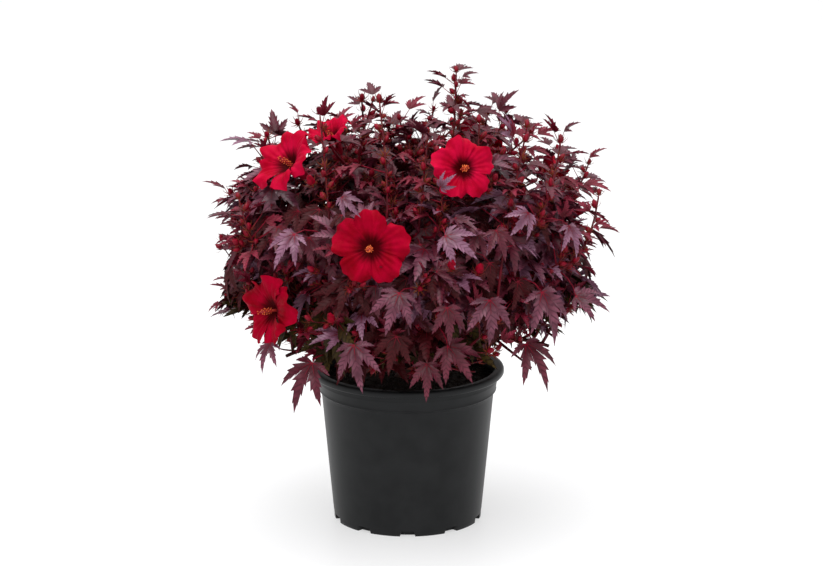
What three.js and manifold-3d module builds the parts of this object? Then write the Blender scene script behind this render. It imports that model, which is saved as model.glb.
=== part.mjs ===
// Hibiscus shrub growing in a black nursery pot, in millimetres, +Z up, front towards -Y.
// The origin is the centre of the pot's flat underside. A short main stem stands on the soil,
// boughs leave it in three rings, and each bough carries one mass of foliage: twigs, leaves and
// blossoms fused into a single solid that keeps to its own share of the crown.

import * as THREE from 'three';
import { mergeVertices } from 'three/addons/utils/BufferGeometryUtils.js';
import Module from 'manifold-3d';

const wasm = await Module();
wasm.setup();

// Clearance between neighbouring pieces, and the seed of every random choice
const GAP = 0.3;
const SEED = 23;
const GOLDEN_ANGLE = THREE.MathUtils.degToRad(137.5);

// Pot: a tapered wall, a collar that steps out near the top, and a rolled lip
const POT_HEIGHT = 218;
const POT_SIDES = 32;
const FOOT_RADIUS = 103.3;
const COLLAR_RADIUS = 125.5;
const LIP_RADIUS = 135;
const LIP_DEPTH = 9;
const COLLAR_FOOT = 184;
const SHOULDER_RADIUS = 121;
const POT_WALL = 3;
const EDGE_BEVEL = 2;
const DRAIN_COUNT = 10;
const DRAIN_WIDTH = 20;
const DRAIN_HEIGHT = 6;
const DRAIN_DEPTH = 11;

// Soil: fills the pot to a little below its lip
const SOIL_TOP = 204;
const SOIL_DIP = 3;
const SOIL_LEVEL_RADIUS = 30;

// Main stem: flat cut on the soil, root flare, slight lean
const STEM_TOP = 262;
const STEM_RADII = [19, 14, 12, 11.5, 10];
const STEM_HEIGHTS = [0, 0.12, 0.3, 0.7, 1];
const STEM_LEAN = 3;
const STEM_SIDES = 8;

// Crown: the outline that every leaf keeps within, a super-ellipse turned about the pot's axis.
// The common twigs keep to a flatter dome, lower by the dip, and the tall ones stand out of it.
const CROWN = { middle: 350, radius: 292, rise: 312, drop: 182, power: 2.3, dip: 0.42 };

// Skirt: how low leaves may hang before the pot's rim, and at a wide stand to the sides
const SKIRT = { low: 225, high: 285, start: 95, span: 105 };

// Rings of boughs, from the lowest up: where they leave the stem and where their foliage sits
const RINGS = [
  {
    name: 'low', count: 6, turn: 218, leaving: 222, climb: 20, stub: 27, thick: 6, thin: 3.8,
    radius: 190, height: 296, share: 0.5,
  },
  {
    name: 'middle', count: 5, turn: 258, leaving: 238, climb: 46, stub: 27, thick: 6, thin: 3.8,
    radius: 150, height: 432, share: 0.62,
  },
  {
    name: 'top', count: 3, turn: 200, leaving: 250, climb: 69, stub: 35, thick: 5.5, thin: 3.6,
    radius: 82, height: 530, share: 0.62,
  },
];
const BOUGH_SIDES = 5;
const BOUGH_STEPS = 5;
const BOUGH_PULL = 0.5;
const SOCKET_SWELL = 1.15;
const LEAD = 7;

// Stem of a mass: it grows on from its bough and ends at a share of the way to the crown's outline
const MASS_STEM = { share: 0.62, pull: 0.45, steps: 4, sides: 5 };

// Twigs: their tips are spread over the crown by the golden angle, and a few taller ones are named.
// They leave the stem of their mass between two of its places and bend by the lift.
const TWIG_COUNT = 82;
const TWIG_LOWEST = -34;
const TWIG_REACH = [0.5, 0.86];
const TWIG_BASE = 2.4;
const TWIG_TIP = 1.3;
const TWIG_SIDES = 3;
const TWIG_PLACES = [0.25, 0.98];
const TWIG_LIFT = 0.16;
const TWIG_SAG = 0.6;
const TALL_TWIGS = [
  { x: 65, y: 5, z: 620 },
  { x: -49, y: -25, z: 598 },
  { x: -87, y: 30, z: 556 },
  { x: 135, y: 45, z: 567 },
  { x: 210, y: -15, z: 540 },
  { x: -117, y: -60, z: 580 },
  { x: 165, y: -60, z: 563 },
  { x: 250, y: 20, z: 500 },
  { x: -10, y: 95, z: 545 },
  { x: 70, y: 140, z: 535 },
  { x: -110, y: 130, z: 530 },
  { x: -200, y: 60, z: 520 },
];

// Leaves: three pointed lobes on a petiole, larger than life so that few of them fill the crown.
// Each pair of numbers is for the youngest leaf and for the oldest.
const NODES_PER_TWIG = 3;
const NODE_PLACES = [0.4, 0.95];
const NODE_HALF = 1.7;
const LEAF_LENGTH = [52, 84];
const LEAF_THICK = 3;
const LEAF_DROOP = 0.1;
const PETIOLE_SHARE = 0.5;
const LEAF_SPREAD = [26, 76];
const LEAF_HANG = [-0.2, 1.2];
const LEAF_OUTWARD = 0.45;
const FACE_OUTWARD = 0.8;
const FACE_UPWARD = 0.7;
const SIDE_LOBE = { angle: 60, reach: 0.84 };
const LOBE_NOTCH = { angle: 28, reach: 0.44 };
const LEAF_SHOULDER = { angle: 128, reach: 0.25 };
const NOTCH_DROOP = 0.3;
const LEAF_MIDDLE = 0.2;

// Growing a leaf: each try swings it round the twig by chance and makes it a little smaller
const LEAF_TRIES = 16;
const LEAF_SWING = 50;
const LEAF_GROWTH = [0.86, 1.14];
const TRY_SHRINK = 0.09;
const SIZE_KEY = 3;
const REACH_KEY = 1;

// How far a leaf may come into a neighbouring mass's space, and the room kept round pot and limbs
const BORDER = 12;
const POT_ROOM = 2;
const LIMB_ROOM = 1;

// Blossoms: five broad petals round a stamen column, each given by its place and its facing
const BLOSSOM_RADIUS = 52;
const BLOSSOM_FUNNEL = 0.26;
const BLOSSOM_THICK = 3;
const PETALS = 5;
const PETAL_CORNERS = 3;
const PETAL_NOTCH = 0.84;
const CALYX = { foot: 0.42, width: 0.14, sides: 5 };
const STALK = { radius: 1.8, foot: 0.36, place: 0.55, lift: 0.1, steps: 2 };
const STAMEN = { length: 30, radius: 3, taper: 0.6, sides: 4 };

// Room kept free of leaves before a blossom's face: its ends as shares of the blossom's radius
const BLOSSOM_ROOM = { behind: 4, depth: 64, narrow: 0.7, wide: 1.05, sides: 8 };
const BLOSSOMS = [
  { x: -48, y: -238, z: 449, turn: 262, climb: 12, size: 0.95 },
  { x: 73, y: -178, z: 545, turn: 286, climb: 24, size: 0.84 },
  { x: -170, y: -108, z: 538, turn: 220, climb: 36, size: 0.9 },
  { x: -183, y: -156, z: 338, turn: 218, climb: 2, size: 0.94 },
  { x: -116, y: -38, z: 564, turn: 214, climb: 30, size: 0.68 },
  { x: 205, y: 120, z: 440, turn: 30, climb: 16, size: 1.0 },
  { x: 96, y: 178, z: 486, turn: 62, climb: 30, size: 0.95 },
  { x: -60, y: 236, z: 436, turn: 104, climb: 10, size: 1.0 },
  { x: -212, y: 122, z: 424, turn: 150, climb: 14, size: 0.95 },
  { x: 118, y: 214, z: 318, turn: 60, climb: 2, size: 1.0 },
];

const POT_COLOUR = 0x1c1d1f;
const SOIL_COLOUR = 0x1f1611;
const STEM_COLOUR = 0x55302a;
const BOUGH_COLOUR = 0x5a1f25;
const LEAF_COLOURS = [0x54303f, 0x5e3848, 0x4b2a36];

const WELD = 1e-4;
const STEEP = 0.9;
const LAST_PLACE = 0.9999;
const UP = new THREE.Vector3(0, 0, 1);
const ASIDE = new THREE.Vector3(1, 0, 0);
const radians = THREE.MathUtils.degToRad;
const lerp = THREE.MathUtils.lerp;

// A number from 0 to 1 that depends on the keys alone, so that a skipped leaf shifts no other
function chance(...keys) {
  let hash = SEED;
  for (const key of keys) {
    hash = Math.imul(hash ^ (key + 0x9e3779b9), 0x85ebca6b);
    hash ^= hash >>> 13;
    hash = Math.imul(hash, 0xc2b2ae35);
    hash ^= hash >>> 16;
  }
  return (hash >>> 0) / 4294967296;
}

// The unit direction at a turn about +Z and a climb above level, both in degrees
function heading(turn, climb) {
  const level = Math.cos(radians(climb));
  return new THREE.Vector3(
    level * Math.cos(radians(turn)),
    level * Math.sin(radians(turn)),
    Math.sin(radians(climb)),
  );
}

// The part of a direction that stands square to an axis, as a unit vector
function squareTo(direction, axis) {
  return direction.clone().addScaledVector(axis, -direction.dot(axis)).normalize();
}

// A closed solid from points and outward triangles
function solidFrom(points, triangles) {
  const vertProperties = new Float32Array(points.flatMap((point) => [point.x, point.y, point.z]));
  const triVerts = new Uint32Array(triangles.flat());
  return new wasm.Manifold(new wasm.Mesh({ numProp: 3, vertProperties, triVerts }));
}

// A closed solid from a three.js geometry
function solidOf(geometry) {
  geometry.deleteAttribute('normal');
  geometry.deleteAttribute('uv');
  const merged = mergeVertices(geometry, WELD);
  return new wasm.Manifold(new wasm.Mesh({
    numProp: 3,
    vertProperties: new Float32Array(merged.attributes.position.array),
    triVerts: new Uint32Array(merged.index.array),
  }));
}

// A named mesh with its own material
function meshOf(solid, name, color, roughness) {
  const { vertProperties, triVerts } = solid.getMesh();
  const geometry = new THREE.BufferGeometry();
  geometry.setAttribute('position', new THREE.BufferAttribute(new Float32Array(vertProperties), 3));
  geometry.setIndex(new THREE.BufferAttribute(new Uint32Array(triVerts), 1));
  const material = new THREE.MeshStandardMaterial({ color, roughness, metalness: 0 });
  const mesh = new THREE.Mesh(geometry, material);
  mesh.name = name;
  return mesh;
}

// A solid turned about Z from a profile of [radius, height] pairs that closes on itself
function turned(profile, sides) {
  const outline = profile.map(([radius, height]) => new THREE.Vector2(radius, height));
  return solidOf(new THREE.LatheGeometry(outline, sides).rotateX(Math.PI / 2));
}

// A ring of corners round each point of a path, as one list
function ringPoints(path, radii, sides) {
  const points = [];
  let side = null;
  path.forEach((point, step) => {
    const before = path[Math.max(step - 1, 0)];
    const after = path[Math.min(step + 1, path.length - 1)];
    const along = after.clone().sub(before).normalize();
    side = squareTo(side ?? (Math.abs(along.z) < STEEP ? UP : ASIDE), along);
    const other = along.clone().cross(side);
    for (let corner = 0; corner < sides; corner += 1) {
      const angle = (2 * Math.PI * corner) / sides;
      points.push(point.clone()
        .addScaledVector(side, radii[step] * Math.cos(angle))
        .addScaledVector(other, radii[step] * Math.sin(angle)));
    }
  });
  return points;
}

// The four corners of one side face between two rings, anticlockwise from outside
function faceCorners(step, corner, sides) {
  const start = step * sides + corner;
  const next = step * sides + ((corner + 1) % sides);
  return [start, next, next + sides, start + sides];
}

// The triangles round a limb of so many rings, without the side faces that are left open
function limbTriangles(rings, sides, isOpen = () => false) {
  const triangles = [];
  for (let step = 0; step < rings - 1; step += 1) {
    for (let corner = 0; corner < sides; corner += 1) {
      const [a, b, c, d] = faceCorners(step, corner, sides);
      if (!isOpen(step, corner)) triangles.push([a, b, c], [a, c, d]);
    }
  }
  const last = (rings - 1) * sides;
  for (let corner = 1; corner < sides - 1; corner += 1) {
    triangles.push([0, corner + 1, corner], [last, last + corner, last + corner + 1]);
  }
  return triangles;
}

// A limb: rings round a path, closed by a flat face at each end
function limb(path, radii, sides) {
  return solidFrom(ringPoints(path, radii, sides), limbTriangles(path.length, sides));
}

// A path that sets out straight along a direction, then curves to its end
function curvedPath(foot, away, end, pull, steps) {
  const start = foot.clone().addScaledVector(away, LEAD);
  const bend = foot.clone().addScaledVector(away, foot.distanceTo(end) * pull);
  return [foot, ...new THREE.QuadraticBezierCurve3(start, bend, end).getPoints(steps - 1)];
}

// Radii that shrink evenly along a path
function taper(thick, thin, steps) {
  return Array.from({ length: steps + 1 }, (_, step) => lerp(thick, thin, step / steps));
}

// The point at a share of a broken line's steps
function pointAt(path, share) {
  const place = Math.min(share, LAST_PLACE) * (path.length - 1);
  const step = Math.floor(place);
  return path[step].clone().lerp(path[step + 1], place - step);
}

// How far the crown reaches from its middle in a direction
function crownReach(direction) {
  const across = Math.hypot(direction.x, direction.y) / CROWN.radius;
  const height = Math.abs(direction.z) / (direction.z > 0 ? CROWN.rise : CROWN.drop);
  return (across ** CROWN.power + height ** CROWN.power) ** (-1 / CROWN.power);
}

// The share of the crown's reach that the common twigs keep to, by the sine of their climb
function dome(climb) {
  return 1 - CROWN.dip * Math.max(climb, 0) ** 4;
}

// Whether a point lies within the crown's outline and above its skirt
function inCrown(point) {
  const spoke = point.clone().sub(new THREE.Vector3(0, 0, CROWN.middle));
  const aside = THREE.MathUtils.clamp((Math.abs(point.x) - SKIRT.start) / SKIRT.span, 0, 1);
  if (point.z < lerp(SKIRT.low, SKIRT.high, aside)) return false;
  return spoke.length() <= crownReach(spoke.clone().normalize());
}

// The pot: its outer profile, then the same wall from inside, with drain slots cut at the foot
function potSolid() {
  const inside = (radius) => radius - POT_WALL;
  const lipFoot = POT_HEIGHT - LIP_DEPTH;
  const pot = turned([
    [0, 0],
    [FOOT_RADIUS - EDGE_BEVEL, 0],
    [FOOT_RADIUS, EDGE_BEVEL],
    [SHOULDER_RADIUS, COLLAR_FOOT - EDGE_BEVEL],
    [COLLAR_RADIUS, COLLAR_FOOT],
    [COLLAR_RADIUS, lipFoot],
    [LIP_RADIUS, lipFoot + EDGE_BEVEL],
    [LIP_RADIUS, POT_HEIGHT - EDGE_BEVEL],
    [LIP_RADIUS - EDGE_BEVEL, POT_HEIGHT],
    [inside(COLLAR_RADIUS), POT_HEIGHT],
    [inside(COLLAR_RADIUS), COLLAR_FOOT + POT_WALL],
    [inside(SHOULDER_RADIUS), COLLAR_FOOT],
    [inside(FOOT_RADIUS), POT_WALL],
    [0, POT_WALL],
  ], POT_SIDES);
  const slots = [];
  for (let drain = 0; drain < DRAIN_COUNT; drain += 1) {
    const slot = new THREE.BoxGeometry(DRAIN_DEPTH * 2, DRAIN_WIDTH, DRAIN_HEIGHT * 2);
    slot.translate(FOOT_RADIUS, 0, 0).rotateZ(((drain + 0.5) * 2 * Math.PI) / DRAIN_COUNT);
    slots.push(solidOf(slot));
  }
  return pot.subtract(wasm.Manifold.union(slots));
}

// The soil: level where the stem stands, dipping a little towards the wall
function soilSolid() {
  const inside = (radius) => radius - POT_WALL - GAP;
  const edge = SOIL_TOP - SOIL_DIP;
  const floor = POT_WALL + GAP;
  return turned([
    [0, floor],
    [inside(FOOT_RADIUS) - DRAIN_DEPTH, floor],
    [inside(FOOT_RADIUS) - DRAIN_DEPTH, DRAIN_HEIGHT + GAP],
    [inside(FOOT_RADIUS), DRAIN_HEIGHT + GAP],
    [inside(SHOULDER_RADIUS), COLLAR_FOOT],
    [inside(COLLAR_RADIUS), COLLAR_FOOT + POT_WALL],
    [inside(COLLAR_RADIUS), edge],
    [SOIL_LEVEL_RADIUS, SOIL_TOP],
    [0, SOIL_TOP],
  ], POT_SIDES);
}

// The point on the main stem's leaning axis at a height
function stemAxis(height) {
  const share = (height - SOIL_TOP) / (STEM_TOP - SOIL_TOP);
  return new THREE.Vector3(-STEM_LEAN * share, STEM_LEAN * 0.5 * share, height);
}

// Where one bough leaves the stem, and where the mass of foliage that it carries is centred
function boughPlan(ring, index) {
  const turn = ring.turn + (360 * index) / ring.count;
  const away = heading(turn, ring.climb);
  const socket = stemAxis(ring.leaving);
  const centre = heading(turn, 0).multiplyScalar(ring.radius).setZ(ring.height);
  const foot = socket.clone().addScaledVector(away, ring.stub + GAP);
  const tip = foot.clone().lerp(centre, ring.share);
  const path = curvedPath(foot, away, tip, BOUGH_PULL, BOUGH_STEPS);
  const ahead = path[BOUGH_STEPS].clone().sub(path[BOUGH_STEPS - 1]).normalize();
  return { name: `${ring.name}_${index + 1}`, ring, away, socket, centre, path, ahead };
}

// The main stem with its root flare, and a stub for each bough
function stemSolid(plans) {
  const path = STEM_HEIGHTS.map((share) => stemAxis(lerp(SOIL_TOP + GAP, STEM_TOP, share)));
  const floor = path[0].z;
  const parts = [limb(path, STEM_RADII, STEM_SIDES)];
  for (const { ring, away, socket } of plans) {
    const end = socket.clone().addScaledVector(away, ring.stub);
    parts.push(limb([socket, end], [ring.thick * SOCKET_SWELL, ring.thick], BOUGH_SIDES));
  }
  return wasm.Manifold.union(parts).trimByPlane([0, 0, 1], floor);
}

// Where the twigs end: spread over the crown, then the named tall ones
function twigEnds() {
  const spread = [];
  const lowest = Math.sin(radians(TWIG_LOWEST));
  for (let index = 0; index < TWIG_COUNT; index += 1) {
    const climb = lerp(lowest, 1, (index + 0.5) / TWIG_COUNT);
    const level = Math.sqrt(1 - climb * climb);
    const angle = index * GOLDEN_ANGLE;
    const spoke = new THREE.Vector3(level * Math.cos(angle), level * Math.sin(angle), climb);
        const share = lerp(...TWIG_REACH, Math.sqrt(chance(index, REACH_KEY)));
    spoke.multiplyScalar(crownReach(spoke) * dome(climb) * share);
    spread.push(spoke.setZ(spoke.z + CROWN.middle));
  }
  return spread.concat(TALL_TWIGS.map(({ x, y, z }) => new THREE.Vector3(x, y, z)));
}

// A leaf's place and turn: young ones by the twig's tip point up, old ones spread and hang
function leafPlan(twig, step, spoke, size) {
  const point = twig.path[step].clone().lerp(twig.path[step + 1], 0.5);
  const tangent = twig.path[step + 1].clone().sub(twig.path[step]).normalize();
  const age = Math.sqrt(1 - step / (twig.path.length - 2));
  const out = new THREE.Vector3(point.x, point.y, 0).normalize();
  const spread = radians(lerp(...LEAF_SPREAD, age));
  const petiole = tangent.multiplyScalar(Math.cos(spread))
    .addScaledVector(spoke, Math.sin(spread)).normalize();
  const along = petiole.clone().addScaledVector(out, LEAF_OUTWARD)
    .addScaledVector(UP, -lerp(...LEAF_HANG, age)).normalize();
  const face = squareTo(out.multiplyScalar(FACE_OUTWARD).addScaledVector(UP, FACE_UPWARD), along);
  const length = lerp(...LEAF_LENGTH, age) * lerp(...LEAF_GROWTH, size);
  const base = point.addScaledVector(petiole, length * PETIOLE_SHARE);
  return { base, along, face, across: face.clone().cross(along), length };
}

// A leaf as corners and triangles. Corners 0 to 3 are its root on the twig's side, 4 to 10 the
// outline of three drooping lobes, and 11 and 12 the middle of its top and of its underside.
function leafShape(root, { base, along, face, across, length }) {
  const at = ({ angle, reach }, hand, droop) => base.clone()
    .addScaledVector(along, Math.cos(radians(angle)) * reach * length)
    .addScaledVector(across, hand * Math.sin(radians(angle)) * reach * length)
    .addScaledVector(face, -droop * length);
  const middle = base.clone().addScaledVector(along, LEAF_MIDDLE * length);
  const points = [
    ...root,
    at(LEAF_SHOULDER, -1, 0),
    at(SIDE_LOBE, -1, LEAF_DROOP),
    at(LOBE_NOTCH, -1, LEAF_DROOP * NOTCH_DROOP),
    at({ angle: 0, reach: 1 }, 1, LEAF_DROOP),
    at(LOBE_NOTCH, 1, LEAF_DROOP * NOTCH_DROOP),
    at(SIDE_LOBE, 1, LEAF_DROOP),
    at(LEAF_SHOULDER, 1, 0),
    middle.clone().addScaledVector(face, LEAF_THICK / 2),
    middle.clone().addScaledVector(face, -LEAF_THICK / 2),
  ];
  const triangles = [4, 5, 6, 7, 8, 9].flatMap((n) => [[11, n, n + 1], [12, n + 1, n]]);
  const rim = [11, 10, 12, 4];
  const facing = (corner, turn) => rim[(turn - corner + 8) % 4];
  const stretch = (turn) => [0, 1, 2, 3].reduce((sum, corner) => (
    sum + points[corner].distanceTo(points[facing(corner, turn)])), 0);
  const turn = [0, 1, 2, 3].reduce((best, each) => (stretch(each) < stretch(best) ? each : best));
  for (let corner = 0; corner < 4; corner += 1) {
    const next = (corner + 1) % 4;
    triangles.push([corner, next, facing(corner, turn)]);
    triangles.push([next, facing(corner + 1, turn), facing(corner, turn)]);
  }
  return { points, triangles };
}

// The leaf's blade alone, to test that it stands clear of the twig that bears it
function bladeSolid({ points }) {
  const blade = points.slice(4);
  const lobes = [0, 1, 2, 3, 4, 5].flatMap((n) => [[7, n, n + 1], [8, n + 1, n]]);
  return solidFrom(blade, [...lobes, [7, 6, 0], [8, 0, 6]]);
}

// A twig with its leaves: each leaf grows out of one side face of the twig. Of the rings, only
// the first, the last and the two at each node with leaves are kept.
function leafyTwig(twig) {
  const rings = ringPoints(twig.path, twig.radii, TWIG_SIDES);
  const borne = new Set(twig.leaves.flatMap(({ step }) => [step, step + 1]));
  const kept = twig.path.map((_, step) => step)
    .filter((step) => step === 0 || step === twig.path.length - 1 || borne.has(step));
  const points = kept.flatMap((step) => rings.slice(step * TWIG_SIDES, (step + 1) * TWIG_SIDES));
  const open = new Set(twig.leaves.map(({ step, corner }) => kept.indexOf(step) * TWIG_SIDES + corner));
  const isOpen = (place, corner) => open.has(place * TWIG_SIDES + corner);
  const triangles = limbTriangles(kept.length, TWIG_SIDES, isOpen);
  for (const { step, corner, shape } of twig.leaves) {
    const numbers = faceCorners(kept.indexOf(step), corner, TWIG_SIDES);
    const first = points.length - 4;
    points.push(...shape.points.slice(4));
    triangles.push(...shape.triangles.map((each) => each.map((n) => (n < 4 ? numbers[n] : first + n))));
  }
  return solidFrom(points, triangles);
}

// A blossom: a shallow funnel of five petals, a calyx behind it and a stamen column before it.
// Its rim has three corners a petal, and the one between two petals is a notch.
function blossomSolid({ x, y, z, turn, climb, size }) {
  const radius = BLOSSOM_RADIUS * size;
  const facing = heading(turn, climb);
  const centre = new THREE.Vector3(x, y, z);
  const side = squareTo(UP, facing);
  const other = facing.clone().cross(side);
  const corners = PETALS * PETAL_CORNERS;
  const rim = Array.from({ length: corners }, (_, corner) => {
    const angle = (2 * Math.PI * (corner + PETAL_CORNERS / 2)) / corners;
    const reach = corner % PETAL_CORNERS === 0 ? radius * PETAL_NOTCH : radius;
    return centre.clone()
      .addScaledVector(side, reach * Math.cos(angle))
      .addScaledVector(other, reach * Math.sin(angle))
      .addScaledVector(facing, radius * BLOSSOM_FUNNEL);
  });
  const back = centre.clone().addScaledVector(facing, -BLOSSOM_THICK * 2);
  const triangles = rim.flatMap((_, corner) => {
    const next = (corner + 1) % corners;
    return [[corners, corner, next], [corners + 1, next, corner]];
  });
  const stamenFoot = centre.clone().addScaledVector(facing, -BLOSSOM_THICK);
  const stamenTip = centre.clone().addScaledVector(facing, STAMEN.length * size);
  const stamenRadii = [STAMEN.radius, STAMEN.radius * STAMEN.taper];
  const calyxFoot = centre.clone().addScaledVector(facing, -radius * CALYX.foot);
  return wasm.Manifold.union([
    solidFrom([...rim, centre, back], triangles),
    limb([stamenFoot, stamenTip], stamenRadii, STAMEN.sides),
    limb([calyxFoot, centre], [STALK.radius, radius * CALYX.width], CALYX.sides),
  ]);
}

// The room that stays free of leaves before a blossom's face
function blossomRoom({ x, y, z, turn, climb, size }) {
  const facing = heading(turn, climb);
  const back = new THREE.Vector3(x, y, z).addScaledVector(facing, -BLOSSOM_ROOM.behind);
  const front = back.clone().addScaledVector(facing, BLOSSOM_ROOM.depth);
  const radius = BLOSSOM_RADIUS * size;
  return limb([back, front], [radius * BLOSSOM_ROOM.narrow, radius * BLOSSOM_ROOM.wide], BLOSSOM_ROOM.sides);
}

// Whether the boxes round two solids meet
function boxesMeet(one, other) {
  return [0, 1, 2].every((axis) => one.min[axis] <= other.max[axis] && other.min[axis] <= one.max[axis]);
}

// Whether a solid meets any of the others, each given with its box
function meets(solid, others) {
  const box = solid.boundingBox();
  return others.some((other) => boxesMeet(box, other.box) && !solid.intersect(other.solid).isEmpty());
}

// A solid with its box, for quick tests
function boxed(solid) {
  return { solid, box: solid.boundingBox() };
}

// Whether every corner of a solid lies in the crown and nearer to its own mass than to another
function inOwnSpace(solid, own, masses) {
  const { vertProperties } = solid.getMesh();
  for (let start = 0; start < vertProperties.length; start += 3) {
    const corner = new THREE.Vector3().fromArray(vertProperties, start);
    if (!inCrown(corner)) return false;
    const near = corner.distanceTo(own.centre);
    if (masses.some((mass) => mass !== own && corner.distanceTo(mass.centre) < near - BORDER)) return false;
  }
  return true;
}

// The plan whose mass is nearest to a point
function nearestPlan(point, masses) {
  return masses.reduce((best, mass) => (
    point.distanceTo(mass.centre) < point.distanceTo(best.centre) ? mass : best));
}

// The plan whose mass bears a blossom
function blossomPlan({ x, y, z }, masses) {
  return nearestPlan(new THREE.Vector3(x, y, z), masses);
}

// The stem of a mass: it grows on from the bough's tip towards the crown's outline
function massStem(plan) {
  const foot = plan.path[BOUGH_STEPS].clone().addScaledVector(plan.ahead, GAP);
  const spoke = plan.centre.clone().sub(new THREE.Vector3(0, 0, CROWN.middle)).normalize();
  const reach = crownReach(spoke) * dome(spoke.z);
  const rim = spoke.multiplyScalar(reach);
  rim.z += CROWN.middle;
  const tip = foot.clone().lerp(rim, MASS_STEM.share);
  return curvedPath(foot, plan.ahead, tip, MASS_STEM.pull, MASS_STEM.steps);
}

// A curve from its mass's stem to its end, bent so that the end stands more upright
function twigCurve(bearer, end, share, lift) {
  const start = pointAt(bearer, share);
  const chord = end.distanceTo(start);
  const out = new THREE.Vector3(end.x, end.y, 0).normalize();
  const bend = start.clone().lerp(end, 0.5)
    .addScaledVector(out, chord * lift)
    .addScaledVector(UP, -chord * lift * TWIG_SAG);
  return new THREE.QuadraticBezierCurve3(start, bend, end);
}

// A bare twig: its path has two points close together at each node, where leaves grow
function bareTwig(curve) {
  const half = NODE_HALF / curve.getLength();
  const shares = [0];
  for (let node = 0; node < NODES_PER_TWIG; node += 1) {
    const place = lerp(...NODE_PLACES, node / (NODES_PER_TWIG - 1));
    shares.push(place - half, place + half);
  }
  shares.push(1);
  const path = shares.map((share) => curve.getPointAt(Math.min(share, 1)));
  const radii = shares.map((share) => lerp(TWIG_BASE, TWIG_TIP, share));
  return { path, radii, solid: limb(path, radii, TWIG_SIDES), leaves: [] };
}

// A mass of foliage: its stem and blossoms, then each twig and leaf that keeps to its own space
// and touches no limb, no other mass and none of the leaves before it
function massSolid(plan, masses, tips, obstacles) {
  const bearer = massStem(plan);
  const radii = taper(plan.ring.thin, TWIG_BASE, MASS_STEM.steps);
  const parts = [limb(bearer, radii, MASS_STEM.sides)];
  for (const blossom of BLOSSOMS.filter((each) => blossomPlan(each, masses) === plan)) {
    const behind = -BLOSSOM_RADIUS * blossom.size * STALK.foot;
    const foot = new THREE.Vector3(blossom.x, blossom.y, blossom.z)
      .addScaledVector(heading(blossom.turn, blossom.climb), behind);
    const stalk = twigCurve(bearer, foot, STALK.place, STALK.lift).getPoints(STALK.steps);
    parts.push(limb(stalk, taper(TWIG_BASE, STALK.radius, STALK.steps), TWIG_SIDES));
    parts.push(blossomSolid(blossom));
  }
  const fits = (solid, others) => inOwnSpace(solid, plan, masses) && !meets(solid, others);
  const mine = tips.map((end, index) => ({ end, index }))
    .filter(({ end }) => nearestPlan(end, masses) === plan);
  const twigs = mine.map(({ end, index }, order) => {
    const share = lerp(...TWIG_PLACES, (order + 0.5) / mine.length);
    const twig = [TWIG_LIFT, 0].map((lift) => bareTwig(twigCurve(bearer, end, share, lift)))
      .find(({ solid }) => fits(solid, obstacles));
    return { ...twig, index };
  }).filter(({ solid }) => solid);
  const bare = [...parts, ...twigs.map(({ solid }) => solid)].map(boxed);
  const leaves = [];
  for (const [number, twig] of twigs.entries()) {
    const own = bare[parts.length + number];
    const others = [...obstacles, ...bare.filter((each) => each !== own)];
    const rings = ringPoints(twig.path, twig.radii, TWIG_SIDES);
    for (let site = 0; site < NODES_PER_TWIG * TWIG_SIDES; site += 1) {
      const step = 1 + 2 * Math.floor(site / TWIG_SIDES);
      const corner = site % TWIG_SIDES;
      const root = faceCorners(step, corner, TWIG_SIDES).map((n) => rings[n]);
      const outward = root[1].clone().sub(root[0]).cross(root[3].clone().sub(root[0])).normalize();
      const tangent = twig.path[step + 1].clone().sub(twig.path[step]).normalize();
      for (let attempt = 0; attempt < LEAF_TRIES; attempt += 1) {
        const swing = radians(lerp(-LEAF_SWING, LEAF_SWING, chance(twig.index, site, attempt)));
        const spoke = squareTo(outward, tangent).applyAxisAngle(tangent, swing);
        const size = chance(twig.index, site, SIZE_KEY) - attempt * TRY_SHRINK;
        const shape = leafShape(root, leafPlan(twig, step, spoke, size));
        const closed = solidFrom(shape.points, [...shape.triangles, [0, 3, 1], [1, 3, 2]]);
        if (!fits(closed, others) || meets(bladeSolid(shape), [own]) || meets(closed, leaves)) continue;
        twig.leaves.push({ step, corner, shape });
        leaves.push(boxed(closed));
        break;
      }
    }
  }
  return wasm.Manifold.union([...parts, ...twigs.map(leafyTwig)]);
}

const plans = RINGS.flatMap((ring) => (
  Array.from({ length: ring.count }, (_, index) => boughPlan(ring, index))));
const pot = potSolid();
const soil = soilSolid();
const mainStem = stemSolid(plans);
const boughs = plans.map(({ path, ring }) => (
  limb(path, taper(ring.thick, ring.thin, BOUGH_STEPS), BOUGH_SIDES)));
const ends = twigEnds();

const potRoom = turned([
  [0, 0], [LIP_RADIUS + POT_ROOM, 0], [LIP_RADIUS + POT_ROOM, POT_HEIGHT + POT_ROOM],
  [0, POT_HEIGHT + POT_ROOM],
], POT_SIDES);
const limbRooms = plans.map(({ path, ring }) => (
  limb(path, taper(ring.thick + LIMB_ROOM, ring.thin + LIMB_ROOM, BOUGH_STEPS), BOUGH_SIDES)));

const shrub = new THREE.Group();
shrub.add(meshOf(pot, 'pot', POT_COLOUR, 0.5));
shrub.add(meshOf(soil, 'soil', SOIL_COLOUR, 1));
shrub.add(meshOf(mainStem, 'main_stem', STEM_COLOUR, 0.8));
plans.forEach((plan, number) => {
  shrub.add(meshOf(boughs[number], `bough_${plan.name}`, BOUGH_COLOUR, 0.7));
});
const rooms = [boxed(potRoom), ...limbRooms.map(boxed), ...BLOSSOMS.map(blossomRoom).map(boxed)];
const grown = [];
plans.forEach((plan, number) => {
  const strangers = BLOSSOMS.filter((each) => blossomPlan(each, plans) !== plan);
  const obstacles = [...rooms, ...strangers.map(blossomSolid).map(boxed), ...grown];
  const solid = massSolid(plan, plans, ends, obstacles);
  grown.push(boxed(solid));
  const colour = LEAF_COLOURS[number % LEAF_COLOURS.length];
  shrub.add(meshOf(solid, `foliage_${plan.name}`, colour, 0.6));
});

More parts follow.
